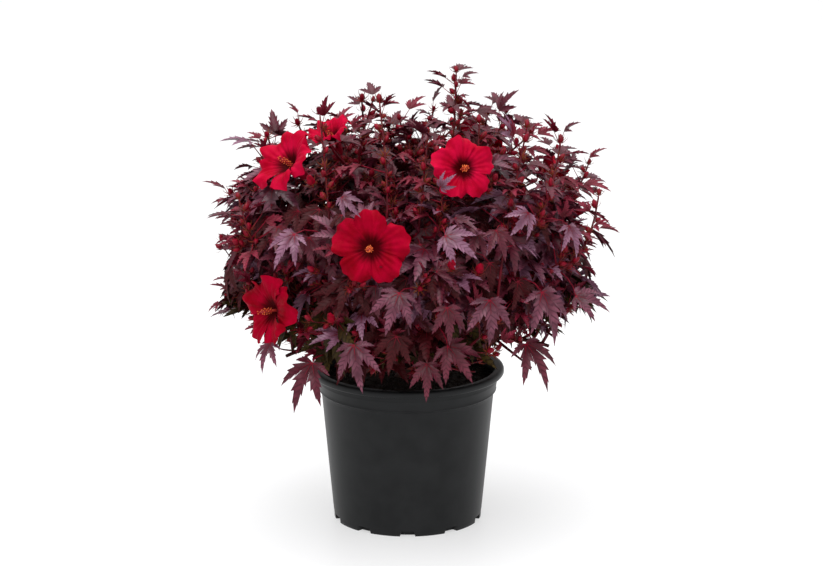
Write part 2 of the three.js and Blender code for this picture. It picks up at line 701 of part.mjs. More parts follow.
export default shrub;
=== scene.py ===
"""Looks of the potted hibiscus shrub: bark, shoots, toothed leaves, buds and blossoms over the CAD solids.

Lengths are in millimetres, +Z up and the front towards -Y, until a mesh is made, which is in metres.
The crown grows by the rule of the part's source: the same boughs, masses and twigs from the same
seed, carried on to finer shoots, which end within the same outline.
"""

import logging
import math
from dataclasses import dataclass, field
from enum import Enum, IntEnum

import bpy
import numpy as np
from mathutils import Euler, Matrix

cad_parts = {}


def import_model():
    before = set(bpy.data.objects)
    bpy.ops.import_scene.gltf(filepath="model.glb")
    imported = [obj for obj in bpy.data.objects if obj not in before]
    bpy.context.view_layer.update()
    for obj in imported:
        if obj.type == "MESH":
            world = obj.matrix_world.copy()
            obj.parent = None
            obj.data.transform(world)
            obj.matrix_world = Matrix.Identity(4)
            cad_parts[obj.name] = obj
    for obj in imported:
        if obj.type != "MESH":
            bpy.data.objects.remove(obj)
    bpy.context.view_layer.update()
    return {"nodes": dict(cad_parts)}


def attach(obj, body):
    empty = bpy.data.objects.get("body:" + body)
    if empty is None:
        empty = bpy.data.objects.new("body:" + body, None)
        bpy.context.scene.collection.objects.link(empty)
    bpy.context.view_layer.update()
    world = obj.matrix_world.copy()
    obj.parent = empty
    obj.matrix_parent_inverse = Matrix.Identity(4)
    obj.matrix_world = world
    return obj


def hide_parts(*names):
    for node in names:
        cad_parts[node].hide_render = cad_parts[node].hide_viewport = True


LOG = logging.getLogger("hibiscus")
Array = np.ndarray
Frames = dict[str, np.ndarray]
Socket = bpy.types.NodeSocket
Pair = tuple[float, float]
Triple = tuple[float, float, float]

# Millimetres to metres, and the clearance between neighbouring solids
METRE = 0.001
GAP = 0.3

GOLDEN_ANGLE = math.radians(137.5)
UP = np.array([0.0, 0.0, 1.0])
WHITE = (1.0, 1.0, 1.0, 1.0)

# The seed and the integer hash of the part's source, which the random numbers come from
SEED = 23
HASH_MASK = np.uint64(0xFFFFFFFF)
HASH_OFFSET = np.uint64(0x9E3779B9)
HASH_FACTORS = (np.uint64(0x85EBCA6B), np.uint64(0xC2B2AE35))
HASH_SHIFTS = (np.uint64(13), np.uint64(16))
HASH_RANGE = 4294967296.0

NO_QUADS = np.zeros((0, 4), int)
NO_TRIANGLES = np.zeros((0, 3), int)

# A grain is an octahedron: four corners round, then one above and one below
GRAIN_CORNERS = np.array([[1, 0, 0], [0, 1, 0], [-1, 0, 0], [0, -1, 0], [0, 0, 1], [0, 0, -1]], float)
GRAIN_FACES = np.array([
    [0, 1, 4], [1, 2, 4], [2, 3, 4], [3, 0, 4], [1, 0, 5], [2, 1, 5], [3, 2, 5], [0, 3, 5],
])


class Draw(IntEnum):
    """The last key of each random number, which keeps the rows of numbers apart."""

    TWIG_REACH = 1
    FINE_REACH = 7
    FINE_KEPT = 8
    CORE_REACH = 9
    CORE_TURN = 10
    CORE_DROP = 11
    CORE_LENGTH = 12
    CORE_GREEN = 13
    CORE_RED = 14
    STEM_RIDGES = 41
    BOUGH_RIDGES = 43
    PETALS = 51
    ANTHER_REACH = 61
    ANTHER_SIZE = 62
    SPRAY_TURN = 71
    PETIOLE_SPREAD = 72
    BLADE_HANG = 73
    BLADE_LEAN = 74
    BLADE_ROLL = 75
    PETIOLE_LENGTH = 76
    SPRAY_TONE = 81
    GROWN_LENGTH = 82
    GROWN_SHAPE = 83
    YOUNG_LENGTH = 84
    YOUNG_SHAPE = 85
    YOUNG_AGE = 86
    YOUNG_TONE = 87
    GROWN_KEPT = 88
    BUD_TURN = 91
    BUD_LENGTH = 92
    BUD_KEPT = 93
    BRACT_ARCH = 94
    SOIL_PHASE = 95
    CRUMB_LEVEL = 96
    CRUMB_TURN = 97
    CRUMB_SIZE = 98
    CRUMB_STRETCH = 99
    CRUMB_SPIN = 102


def chance(*keys: Array | int) -> Array:
    """Gives a number from 0 to 1 that depends on the keys alone, by the hash of the part's source.

    Args:
        keys: whole numbers, or arrays of them that broadcast together.

    Returns:
        One number for each combination of keys.
    """
    spread = np.broadcast_arrays(*[np.asarray(key, dtype=np.uint64) for key in keys])
    mixed = np.full(spread[0].shape, SEED, dtype=np.uint64)
    for key in spread:
        mixed = mixed ^ ((key + HASH_OFFSET) & HASH_MASK)
        for factor, shift in zip(HASH_FACTORS, HASH_SHIFTS):
            mixed = (mixed * factor) & HASH_MASK
            mixed = mixed ^ (mixed >> shift)
    return mixed.astype(float) / HASH_RANGE


def lerp(low: Array | float, high: Array | float, share: Array | float) -> Array | float:
    """Gives low at share 0, high at share 1 and a straight line between them."""
    return low + (high - low) * share


def unit(vectors: Array) -> Array:
    """Scales vectors along the last axis to length 1."""
    shortest = 1e-9
    return vectors / np.maximum(np.linalg.norm(vectors, axis=-1, keepdims=True), shortest)


def dot(one: Array, other: Array) -> Array:
    """Gives the dot product along the last axis, which is kept."""
    return np.sum(one * other, axis=-1, keepdims=True)


def square_to(directions: Array, axes: Array) -> Array:
    """Gives the part of each direction that stands square to its axis, as a unit vector."""
    return unit(directions - axes * dot(directions, axes))


def heading(turn: Array | float, climb: Array | float) -> Array:
    """Gives the unit direction at a turn about +Z and a climb above level, both in degrees."""
    turn, climb = np.radians(turn), np.radians(climb)
    level = np.cos(climb)
    return np.stack([level * np.cos(turn), level * np.sin(turn), np.sin(climb) + 0 * turn], axis=-1)


def around(count: int) -> Array:
    """Gives angles evenly spaced round a full turn."""
    return np.linspace(0, 2 * np.pi, count, endpoint=False)


def picked(frames: Frames, chosen: Array) -> Frames:
    """Gives the frames of the things that are chosen."""
    return {key: value[chosen] for key, value in frames.items()}


def numbered(count: Array) -> tuple[Array, Array]:
    """Lists things, given how many each owner has: the owner of each, and its number with them."""
    owner = np.repeat(np.arange(len(count)), count)
    return owner, np.arange(len(owner)) - np.repeat(np.cumsum(count) - count, count)


def outward(points: Array) -> Array:
    """Gives the level unit direction from the pot's axis to each point."""
    return unit(points * np.array([1.0, 1.0, 0.0]))


def bezier(start: Array, bend: Array, end: Array, shares: Array) -> Array:
    """Samples quadratic curves: start (1-s)^2 + 2 bend s(1-s) + end s^2.

    Args:
        start, bend, end: control points, shape (..., 3).
        shares: places on each curve, shape (..., n) or (n,).

    Returns:
        Points of shape (..., n, 3).
    """
    s = np.asarray(shares)[..., None]
    start, bend, end = start[..., None, :], bend[..., None, :], end[..., None, :]
    return start * (1 - s) ** 2 + bend * 2 * s * (1 - s) + end * s**2


def curved_path(foot: Array, away: Array, end: Array, pull: float, steps: int, lead: float = 7.0) -> Array:
    """Gives a path that sets out straight along a direction, then curves to its end.

    Args:
        foot: where it starts.
        away: the unit direction that it sets out along.
        end: where it ends.
        pull: how far along that direction the curve bends, as a share of the whole distance.
        steps: the number of points on the curve.
        lead: the length of the straight start.

    Returns:
        The foot and the curve's points.
    """
    bend = foot + away * np.linalg.norm(foot - end) * pull
    curve = bezier(foot + away * lead, bend, end, np.linspace(0, 1, steps))
    return np.concatenate([foot[None], curve])


def point_at(path: Array, share: Array) -> Array:
    """Gives the points at shares of a broken line's steps."""
    last_share = 0.9999
    place = np.minimum(share, last_share) * (len(path) - 1)
    step = np.floor(place).astype(int)
    return lerp(path[step], path[step + 1], (place - step)[..., None])


@dataclass
class Surface:
    """Points with the quads and triangles between them, anticlockwise from outside."""

    points: Array
    quads: Array
    triangles: Array = field(default_factory=NO_TRIANGLES.copy)
    depth: Array | None = None
    chart: Array | None = None

    def triangle_count(self) -> int:
        """Gives the number of triangles once quads are split."""
        return 2 * len(self.quads) + len(self.triangles)

    def mesh_object(self, name: str, smooth: bool = True) -> bpy.types.Object:
        """Makes a Blender mesh object at the origin from the surface.

        Args:
            name: the piece's name.
            smooth: whether faces are shaded smooth.

        Returns:
            The new object, linked to the scene.
        """
        mesh = bpy.data.meshes.new(name)
        quad_corners, triangle_corners = self.quads.size, self.triangles.size
        mesh.vertices.add(len(self.points))
        mesh.vertices.foreach_set("co", (self.points * METRE).astype(np.float32).ravel())
        mesh.loops.add(quad_corners + triangle_corners)
        corners = np.concatenate([self.quads.ravel(), self.triangles.ravel()])
        mesh.loops.foreach_set("vertex_index", corners.astype(np.int32))
        starts = np.concatenate([
            np.arange(0, quad_corners, 4),
            quad_corners + np.arange(0, triangle_corners, 3),
        ])
        mesh.polygons.add(len(starts))
        mesh.polygons.foreach_set("loop_start", starts.astype(np.int32))
        mesh.update(calc_edges=True)
        mesh.validate()
        mesh.polygons.foreach_set("use_smooth", np.full(len(mesh.polygons), smooth))
        if self.depth is not None:
            layer = mesh.attributes.new("depth", "FLOAT", "POINT")
            layer.data.foreach_set("value", self.depth.astype(np.float32))
        if self.chart is not None:
            vertex = np.zeros(len(mesh.loops), np.int32)
            mesh.loops.foreach_get("vertex_index", vertex)
            layer = mesh.uv_layers.new(name="blade_chart")
            layer.uv.foreach_set("vector", self.chart[vertex].astype(np.float32).ravel())
        piece = bpy.data.objects.new(name, mesh)
        bpy.context.scene.collection.objects.link(piece)
        return piece


def joined(surfaces: list[Surface]) -> Surface:
    """Puts several surfaces into one, with their corner numbers moved on."""
    starts = np.cumsum([0] + [len(each.points) for each in surfaces[:-1]])
    return Surface(
        np.concatenate([each.points for each in surfaces]),
        np.concatenate([each.quads + start for each, start in zip(surfaces, starts)]),
        np.concatenate([each.triangles + start for each, start in zip(surfaces, starts)]),
    )


def repeated(points: Array, quads: Array, triangles: Array = NO_TRIANGLES) -> Surface:
    """Makes one surface of many copies of a template.

    Args:
        points: the corners of each copy, shape (copies, corners, 3).
        quads, triangles: the template's faces.

    Returns:
        The copies as one surface.
    """
    copies, corners = points.shape[:2]
    starts = (np.arange(copies) * corners)[:, None, None]
    return Surface(
        points.reshape(-1, 3),
        (quads[None] + starts).reshape(-1, 4),
        (triangles[None] + starts).reshape(-1, 3),
    )


def grid_quads(rows: int, columns: int, closed: bool) -> Array:
    """Gives the quads of a grid whose points run row by row.

    Args:
        rows, columns: the grid's size.
        closed: whether the last column joins the first.

    Returns:
        Corner numbers, four a quad.
    """
    row = np.arange(rows - 1)[:, None]
    column = np.arange(columns if closed else columns - 1)[None]
    after = (column + 1) % columns
    quads = np.stack([
        row * columns + column, row * columns + after,
        (row + 1) * columns + after, (row + 1) * columns + column,
    ], axis=-1)
    return quads.reshape(-1, 4)


def tubes(paths: Array, radii: Array, sides: int, relief: Array | None = None) -> Surface:
    """Sweeps a round section along many paths at once.

    The point at station s and angle a is path(s) + r(s)(cos a side + sin a other), where side stays
    square to the path and as near as it can to one reference direction. Both ends are closed.

    Args:
        paths: points of the paths, shape (tubes, stations, 3).
        radii: radius at each station, shape (tubes, stations).
        sides: corners of the section.
        relief: factors on the radius, shape (tubes, stations, sides).

    Returns:
        All the tubes as one surface.
    """
    steep_rise = 0.9
    tangents = unit(np.gradient(paths, axis=1))
    chords = unit(paths[:, -1] - paths[:, 0])
    steep = np.abs(chords[:, 2:]) > steep_rise
    reference = square_to(np.where(steep, np.array([1.0, 0.0, 0.0]), UP), chords)[:, None]
    side = square_to(np.broadcast_to(reference, tangents.shape), tangents)
    other = np.cross(tangents, side)
    angles = around(sides)[:, None]
    reach = radii[:, :, None, None]
    if relief is not None:
        reach = reach * relief[..., None]
    ring = np.cos(angles) * side[:, :, None] + np.sin(angles) * other[:, :, None]
    points = paths[:, :, None] + reach * ring
    stations = paths.shape[1]
    corners = np.arange(1, sides - 1)
    last = (stations - 1) * sides
    caps = np.concatenate([
        np.stack([0 * corners, corners + 1, corners], axis=-1),
        np.stack([last + 0 * corners, last + corners, last + corners + 1], axis=-1),
    ])
    return repeated(points.reshape(len(paths), -1, 3), grid_quads(stations, sides, True), caps)


class Pattern(Enum):
    """The kinds of surface pattern that the finishes use."""

    MOULDED = "moulded plastic with faint haze"
    CRUMBS = "loose potting mix"
    BARK = "streaks along and across bark"
    BLADE = "leaf blade with veins that leave the midribs"
    SKIN = "mottled skin of buds and bracts"
    SILK = "fine pleated petal"


# Noise of the finishes: the detail of the coarse one, that of the one for relief and how much finer
# that one is, where on the noise the two colours stand, and how bark is stretched upward
COARSE_DETAIL = 4.0
FINE_DETAIL = 2.0
FINE_SHARE = 4.5
COLOUR_ENDS = (0.32, 0.68)
BARK_STRETCH = 0.35

# Side veins of a blade: their slope and number on its chart, the part of the wave that darkens,
# the painted shade in their grooves, and the redder zone round the point where the lobes meet
VEIN_SLOPE = 1.3
VEIN_COUNT = 8
VEIN_BAND = (-1.0, -0.2)
VEIN_PAINTED_SHADE = 0.94
ROOT_ZONE = (0.0, 0.62)
ROOT_SHARES = (0.62, 0.35, 0.42)
ROOT_RED = (12, 0, 0)

# How far out a petal's dark throat fades, as shares of its length
THROAT_BAND = (0.2, 0.5)


@dataclass(frozen=True)
class Graph:
    """The node tree of a material that is being built."""

    tree: bpy.types.NodeTree

    def fill(self, node: bpy.types.Node, inputs: dict[str | int, object]) -> None:
        """Links sockets to a node's inputs, and sets those that have values instead.

        Args:
            node: the node.
            inputs: a socket or a value for each input, by name or number.
        """
        for key, value in inputs.items():
            if isinstance(value, Socket):
                self.tree.links.new(value, node.inputs[key])
            else:
                node.inputs[key].default_value = value

    def add(
        self, kind: str, inputs: dict[str | int, object] | None = None, **settings: str
    ) -> bpy.types.Node:
        """Adds a shader node.

        Args:
            kind: its type, without the words that all types start with.
            inputs: the sockets or values for its inputs.
            settings: the node's own settings, which come first.

        Returns:
            The new node.
        """
        node = self.tree.nodes.new("ShaderNode" + kind)
        for key, value in settings.items():
            setattr(node, key, value)
        self.fill(node, inputs or {})
        return node

    def ranged(self, value: Socket, band: Pair, interpolation: str = "LINEAR") -> Socket:
        """Turns a band of values into 0 to 1."""
        inputs = {"Value": value, "From Min": band[0], "From Max": band[1]}
        return self.add("MapRange", inputs, interpolation_type=interpolation).outputs["Result"]


@dataclass(frozen=True)
class Finish:
    """A procedural finish: two colours that a noise mixes, with its own roughness and relief.

    Colours are sRGB from 0 to 255. The grain is the size in millimetres of the noise's features.
    """

    name: str
    base: Triple
    tint: Triple
    pattern: Pattern
    roughness: float = 0.6
    swing: float = 0.1
    grain: float = 12.0
    relief: float = 0.15
    specular: float = 0.4
    throat: Triple | None = None

    @staticmethod
    def linear(colour: Triple) -> tuple[float, float, float, float]:
        """Turns an sRGB colour into the linear one that a shader takes."""
        share = np.array(colour) / 255
        value = np.where(share <= 0.04045, share / 12.92, ((share + 0.055) / 1.055) ** 2.4)
        return (*[float(each) for each in value], 1.0)

    def material(self) -> bpy.types.Material:
        """Builds the node material on Object coordinates.

        Returns:
            The new material.
        """
        material = bpy.data.materials.new(self.name)
        material.use_nodes = True
        graph = Graph(material.node_tree)
        stretch = BARK_STRETCH if self.pattern is Pattern.BARK else 1.0
        place = graph.add("TexCoord").outputs["Object"]
        place = graph.add("Mapping", {"Vector": place, "Scale": (1.0, 1.0, stretch)}).outputs["Vector"]
        pitch = self.grain * METRE
        noise = graph.add("TexNoise", {"Vector": place, "Scale": 1 / pitch, "Detail": COARSE_DETAIL})
        fine = graph.add("TexNoise", {"Vector": place, "Scale": FINE_SHARE / pitch, "Detail": FINE_DETAIL})
        ramp = graph.add("ValToRGB", {"Fac": noise.outputs["Fac"]})
        for element, position, colour in zip(ramp.color_ramp.elements, COLOUR_ENDS, (self.base, self.tint)):
            element.position = position
            element.color = self.linear(colour)
        colour, height = ramp.outputs["Color"], fine.outputs["Fac"]
        if self.pattern is Pattern.BLADE:
            colour, height = self._with_veins(graph, colour)
        if self.throat is not None:
            colour = self._with_throat(graph, colour)
        gloss = graph.add("MapRange", {
            "Value": noise.outputs["Fac"],
            "To Min": self.roughness - self.swing,
            "To Max": self.roughness + self.swing,
        })
        bump = graph.add("Bump", {"Height": height, "Distance": self.relief * METRE})
        graph.fill(graph.tree.nodes["Principled BSDF"], {
            "Base Color": colour,
            "Roughness": gloss.outputs["Result"],
            "Normal": bump.outputs["Normal"],
            "Specular IOR Level": self.specular,
        })
        return material

    def _mixed(self, graph: Graph, factor: Socket, colour: Triple, other: Socket) -> Socket:
        """Gives a fixed sRGB colour at factor 0 and the other colour at 1."""
        inputs = {"Factor": factor, "A": self.linear(colour), "B": other}
        return graph.add("Mix", inputs, data_type="RGBA").outputs["Result"]

    def _with_veins(self, graph: Graph, colour: Socket) -> tuple[Socket, Socket]:
        """Draws side veins on the blade's chart, where u runs along a lobe and v away from its midrib.

        The pattern repeats with u less the slope times v, so that it makes arrow heads along each
        midrib, and a wave of it both darkens the colour in the veins, painted shade in their grooves,
        and lowers the surface there.
        The blade is darker and redder where the lobes meet.

        Args:
            graph: the material's nodes.
            colour: the blade's colour so far.

        Returns:
            The colour with veins, and the wave as a height.
        """
        chart = graph.add("UVMap", uv_map="blade_chart").outputs["UV"]
        shear = graph.add("VectorMath", {0: chart, 1: (1.0, -VEIN_SLOPE, 0.0)}, operation="DOT_PRODUCT")
        turns = {0: shear.outputs["Value"], 1: 2 * math.pi * VEIN_COUNT}
        turns = graph.add("Math", turns, operation="MULTIPLY").outputs["Value"]
        wave = graph.add("Math", {0: turns}, operation="SINE").outputs["Value"]
        shade = graph.ranged(wave, VEIN_BAND)
        along = graph.add("SeparateXYZ", {"Vector": chart}).outputs["X"]
        fade = graph.ranged(along, ROOT_ZONE, "SMOOTHSTEP")
        root = tuple(np.array(ROOT_SHARES) * self.base + ROOT_RED)
        colour = self._mixed(graph, fade, root, colour)
        # The veins' colour is the base darkened: painted shade in their grooves
        vein_painted_shade = tuple(VEIN_PAINTED_SHADE * each for each in self.base)
        return self._mixed(graph, shade, vein_painted_shade, colour), shade

    def _with_throat(self, graph: Graph, colour: Socket) -> Socket:
        """Darkens the colour towards the throat by the petals' depth attribute."""
        depth = graph.add("Attribute", attribute_name="depth").outputs["Fac"]
        return self._mixed(graph, graph.ranged(depth, THROAT_BAND, "SMOOTHSTEP"), self.throat, colour)


POT_PLASTIC = Finish("pot_plastic", (21, 22, 23), (28, 29, 30), Pattern.MOULDED, 0.42, 0.05, 30, 0.05, 0.15)
POTTING_MIX = Finish("potting_mix", (22, 14, 10), (46, 34, 27), Pattern.CRUMBS, 0.92, 0.05, 5, 0.8, 0.2)
STEM_BARK = Finish("stem_bark", (52, 32, 28), (78, 50, 42), Pattern.BARK, 0.8, 0.1, 7, 0.4, 0.25)
BOUGH_BARK = Finish("bough_bark", (40, 8, 12), (62, 18, 20), Pattern.BARK, 0.65, 0.1, 6, 0.2, 0.15)
TWIG_SKIN = Finish("twig_skin", (50, 0, 9), (88, 4, 20), Pattern.BARK, 0.45, 0.1, 6, 0.1, 0.12)
PETIOLE_SKIN = Finish("petiole_skin", (92, 4, 24), (124, 12, 36), Pattern.BARK, 0.5, 0.1, 8, 0.05, 0.1)
PETAL_SILK = Finish(
    "petal_silk", (118, 0, 15), (150, 0, 34), Pattern.SILK, 0.5, 0.08, 20, 0.5, 0.02, (58, 0, 4))
# A lighter copy of the petal finish for blossoms high up: painted light from above
PETAL_SILK_PAINTED_LIGHT = Finish(
    "petal_silk_painted_light", (142, 0, 26), (172, 6, 48), Pattern.SILK, 0.5, 0.08, 20, 0.5, 0.02, (56, 0, 4))
FURLED_SILK = Finish("furled_silk", (84, 0, 12), (134, 0, 30), Pattern.SKIN, 0.5, 0.08, 5, 0.2, 0.05)
STAMEN_SKIN = Finish("stamen_skin", (132, 18, 24), (160, 40, 36), Pattern.SILK, 0.5, 0.1, 4, 0.05, 0.3)
POLLEN = Finish("pollen", (176, 34, 22), (228, 124, 66), Pattern.CRUMBS, 0.8, 0.1, 5, 0.1, 0.1)
BUD_SKIN = Finish("bud_skin", (88, 0, 16), (130, 4, 32), Pattern.SKIN, 0.45, 0.1, 6, 0.1, 0.14)
BRACT_SKIN = Finish("bract_skin", (104, 6, 22), (108, 58, 30), Pattern.SKIN, 0.6, 0.1, 26, 0.05, 0.12)
LIGHT_TABLE = Finish("light_table", (166, 166, 167), (168, 168, 169), Pattern.MOULDED, 0.5, 0.05, 900, 0.02)


class Tone(Enum):
    """The colours of leaves, dealt out by shoot and by place in the crown, with painted sheen and painted
    shade among them.
    """

    WINE = Finish("leaf_wine", (66, 14, 28), (98, 36, 52), Pattern.BLADE, 0.38, 0.06, 16, 0.12, 0.22)
    PLUM = Finish("leaf_plum", (72, 27, 43), (116, 62, 80), Pattern.BLADE, 0.36, 0.06, 18, 0.12, 0.26)
    # A mauve blade colour that paints the glossy sheen of upper faces lit from above
    PAINTED_MAUVE_SHEEN = Finish("leaf_painted_mauve_sheen", (96, 55, 75), (136, 94, 117), Pattern.BLADE, 0.34, 0.06, 18, 0.12, 0.3)
    CRIMSON = Finish("leaf_crimson", (90, 8, 28), (134, 38, 60), Pattern.BLADE, 0.42, 0.06, 14, 0.2, 0.16)
    # A dark tone that paints the shade deep inside and low in the crown
    PAINTED_SHADE = Finish("leaf_painted_shade", (50, 6, 9), (70, 17, 24), Pattern.BLADE, 0.45, 0.06, 16, 0.25, 0.12)
    # An olive hue of old leaves, darkened as painted shade for leaves deep inside and low down
    OLIVE_IN_PAINTED_SHADE = Finish("leaf_olive_painted_shade", (34, 22, 5), (62, 48, 14), Pattern.BLADE, 0.52, 0.06, 20, 0.25, 0.12)

    @property
    def position(self) -> int:
        """The tone's place in the list of tones."""
        return list(Tone).index(self)


def dress(surface: Surface, name: str, finish: Finish, nodes: list[str]) -> bpy.types.Object:
    """Makes a surface a finished piece that rides on the body and stands for its CAD nodes.

    Args:
        surface: the piece's shape in millimetres.
        name: the piece's name.
        finish: its finish.
        nodes: the CAD nodes that it stands for.

    Returns:
        The piece.
    """
    piece = surface.mesh_object(name)
    piece.data.materials.append(finish.material())
    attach(piece, "root")
    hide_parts(*nodes)
    LOG.info("%s: %d triangles", name, surface.triangle_count())
    return piece


@dataclass(frozen=True)
class Crown:
    """The outline that the shoots keep within: a super-ellipse turned about the pot's axis.

    A wave of the lumps has its size, its number round the crown, its pitch upward and its phase.
    """

    middle: float = 350.0
    radius: float = 292.0
    rise: float = 312.0
    drop: float = 182.0
    power: float = 2.3
    dip: float = 0.42
    lump_height: float = 52.0
    lump_waves: tuple[tuple[float, int, float, float], ...] = ((0.28, 6, 1.2, 0), (0.22, 9, -1.9, 1))

    def reach(self, spokes: Array) -> Array:
        """Gives how far the crown reaches from its middle along unit spokes.

        The reach is (level^p + height^p)^(-1/p), each measured in its own half axis.
        """
        level = np.hypot(spokes[..., 0], spokes[..., 1]) / self.radius
        height = np.abs(spokes[..., 2]) / np.where(spokes[..., 2] > 0, self.rise, self.drop)
        return (level**self.power + height**self.power) ** (-1 / self.power)

    def dome(self, climb: Array) -> Array:
        """Gives the share of the reach that shoots keep to: 1 - dip climb^4, for the climb's sine."""
        return 1 - self.dip * np.maximum(climb, 0) ** 4

    def lump(self, points: Array) -> Array:
        """Gives a sum of low waves round and up the crown, from 0 to 1, that clumps the shoots."""
        turn = np.arctan2(points[..., 1], points[..., 0])
        height = points[..., 2] / self.lump_height
        total = np.full(turn.shape, 0.5)
        for size, number, pitch, phase in self.lump_waves:
            total += size * np.cos(number * turn + pitch * height + phase)
        return total

    def share(self, points: Array) -> Array:
        """Gives each point's distance from the crown's middle as a share of the reach there."""
        spokes = points - UP * self.middle
        return np.linalg.norm(spokes, axis=-1) / self.reach(unit(spokes))

    def spread(self, count: int, lowest: float, low: float, high: float, key: int) -> Array:
        """Spreads points over the crown by the golden angle.

        Args:
            count: how many points.
            lowest: the climb in degrees of the lowest one.
            low, high: the least and greatest share of the reach.
            key: the last key of the random numbers.

        Returns:
            The points, shape (count, 3).
        """
        index = np.arange(count)
        climb = lerp(math.sin(math.radians(lowest)), 1.0, (index + 0.5) / count)
        level = np.sqrt(1 - climb * climb)
        angle = index * GOLDEN_ANGLE
        spokes = np.stack([level * np.cos(angle), level * np.sin(angle), climb], axis=-1)
        reach = self.reach(spokes) * self.dome(climb) * lerp(low, high, np.sqrt(chance(index, key)))
        return spokes * reach[:, None] + UP * self.middle


@dataclass(frozen=True)
class BoughRing:
    """One ring of boughs: where they leave the stem and where their foliage is centred."""

    count: int
    turn: float
    leaving: float
    climb: float
    stub: float
    thick: float
    thin: float
    radius: float
    height: float
    share: float


RINGS = (
    BoughRing(6, 218, 222, 20, 27, 6.0, 3.8, 190, 296, 0.5),
    BoughRing(5, 258, 238, 46, 27, 6.0, 3.8, 150, 432, 0.62),
    BoughRing(3, 200, 250, 69, 35, 5.5, 3.6, 82, 530, 0.62),
)


@dataclass(frozen=True)
class Mass:
    """One bough with the stem of the foliage that grows on from it.

    The stem is the source's broken line, and the fine path follows bough and stem in shorter steps.
    The bough share is where on the fine path the bough ends.
    """

    thick: float
    thin: float
    centre: Array
    stem: Array
    fine_path: Array
    bough_share: float


@dataclass
class Limbs:
    """The main stem and the boughs, with bark, and the stems of the masses of foliage."""

    crown: Crown
    soil_top: float = 204.0
    stem_top: float = 262.0
    stem_radii: tuple[float, ...] = (19, 14, 12, 11.5, 10)
    stem_heights: tuple[float, ...] = (0, 0.12, 0.3, 0.7, 1)
    lean: float = 3.0
    twig_base: float = 2.4
    bough_pull: float = 0.5
    stem_pull: float = 0.45
    stem_share: float = 0.62
    bough_steps: int = 5
    stem_steps: int = 4
    fine_bough_steps: int = 14
    fine_stem_steps: int = 10
    socket_depth: float = 6.0
    socket_swell: float = 1.15
    swell_end: float = 0.12
    stem_sides: int = 28
    bough_sides: int = 14
    stem_relief: float = 0.035
    bough_relief: float = 0.03
    ridges: tuple[tuple[int, int], ...] = ((3, 9), (5, -17), (7, 31), (2, 47), (9, -60))

    def stem_axis(self, heights: Array | float) -> Array:
        """Gives the points on the main stem's leaning axis at heights."""
        heights = np.asarray(heights, float)
        share = (heights - self.soil_top) / (self.stem_top - self.soil_top)
        return np.stack([-self.lean * share, self.lean * 0.5 * share, heights], axis=-1)

    def masses(self) -> list[Mass]:
        """Plans every bough and the stem that grows on from its tip.

        Returns:
            The masses, in the order of the part's nodes.
        """
        plans = []
        for ring in RINGS:
            for index in range(ring.count):
                turn = ring.turn + 360 * index / ring.count
                away = heading(turn, ring.climb)
                socket = self.stem_axis(ring.leaving)
                centre = heading(turn, 0.0) * ring.radius + UP * ring.height
                foot = socket + away * (ring.stub + GAP)
                tip = lerp(foot, centre, ring.share)
                bough = curved_path(foot, away, tip, self.bough_pull, self.bough_steps)
                ahead = unit(bough[-1] - bough[-2])
                spoke = unit(centre - UP * self.crown.middle)
                rim = spoke * self.crown.reach(spoke) * self.crown.dome(spoke[2]) + UP * self.crown.middle
                start = bough[-1] + ahead * GAP
                end = lerp(start, rim, self.stem_share)
                stem = curved_path(start, ahead, end, self.stem_pull, self.stem_steps)
                fine_bough = curved_path(foot, away, tip, self.bough_pull, self.fine_bough_steps)
                fine_stem = curved_path(start, ahead, end, self.stem_pull, self.fine_stem_steps)
                inside = (socket + away * self.socket_depth)[None]
                path = np.concatenate([inside, fine_bough, fine_stem[1:]])
                bough_share = len(fine_bough) / (len(path) - 1)
                plans.append(Mass(ring.thick, ring.thin, centre, stem, path, bough_share))
        return plans

    def relief(self, stations: int, sides: int, tubes_count: int, depth: float, key: int) -> Array:
        """Works out bark as factors on the radius.

        The factor is 1 plus a sum of ridges, sin(turns a + pitch s + phase), whose turns run round
        the limb and whose pitches run along it, so that they wander and break.

        Args:
            stations, sides: the grid of each limb.
            tubes_count: how many limbs.
            depth: height of the ridges as a share of the radius.
            key: the last key of the random phases.

        Returns:
            Factors of shape (limbs, stations, sides).
        """
        angle = around(sides)[None, None]
        along = np.linspace(0, 1, stations)[None, :, None]
        limb = np.arange(tubes_count)[:, None, None]
        factor = np.ones((tubes_count, stations, sides))
        for wave, (turns, pitch) in enumerate(self.ridges):
            phase = 2 * np.pi * chance(limb, wave, key)
            factor += depth / (1 + 0.5 * wave) * np.sin(turns * angle + pitch * along + phase)
        return factor

    def main_stem(self) -> Surface:
        """Builds the main stem from its root flare to its rounded top, with bark."""
        crown_rises, crown_shares = (3, 4.5), (0.8, 0.3)
        shares = np.linspace(0, 1, 26)
        heights = lerp(self.soil_top + GAP, self.stem_top, shares)
        radii = np.interp(shares, self.stem_heights, self.stem_radii)
        path = self.stem_axis(heights)
        path = np.concatenate([path, *[(path[-1] + UP * rise)[None] for rise in crown_rises]])
        radii = np.concatenate([radii, [radii[-1] * share for share in crown_shares]])
        relief = self.relief(len(path), self.stem_sides, 1, self.stem_relief, Draw.STEM_RIDGES)
        return tubes(path[None], radii[None], self.stem_sides, relief)

    def boughs(self, masses: list[Mass]) -> Surface:
        """Builds every bough with the stem of its mass as one tapering limb with bark."""
        paths = np.stack([mass.fine_path for mass in masses])
        place = np.linspace(0, 1, paths.shape[1])
        radii = np.stack([
            np.interp(place, [0, self.swell_end, mass.bough_share, 1],
                      [mass.thick * self.socket_swell, mass.thick, mass.thin, self.twig_base])
            for mass in masses
        ])
        relief = self.relief(
            paths.shape[1], self.bough_sides, len(masses), self.bough_relief, Draw.BOUGH_RIDGES)
        return tubes(paths, radii, self.bough_sides, relief)


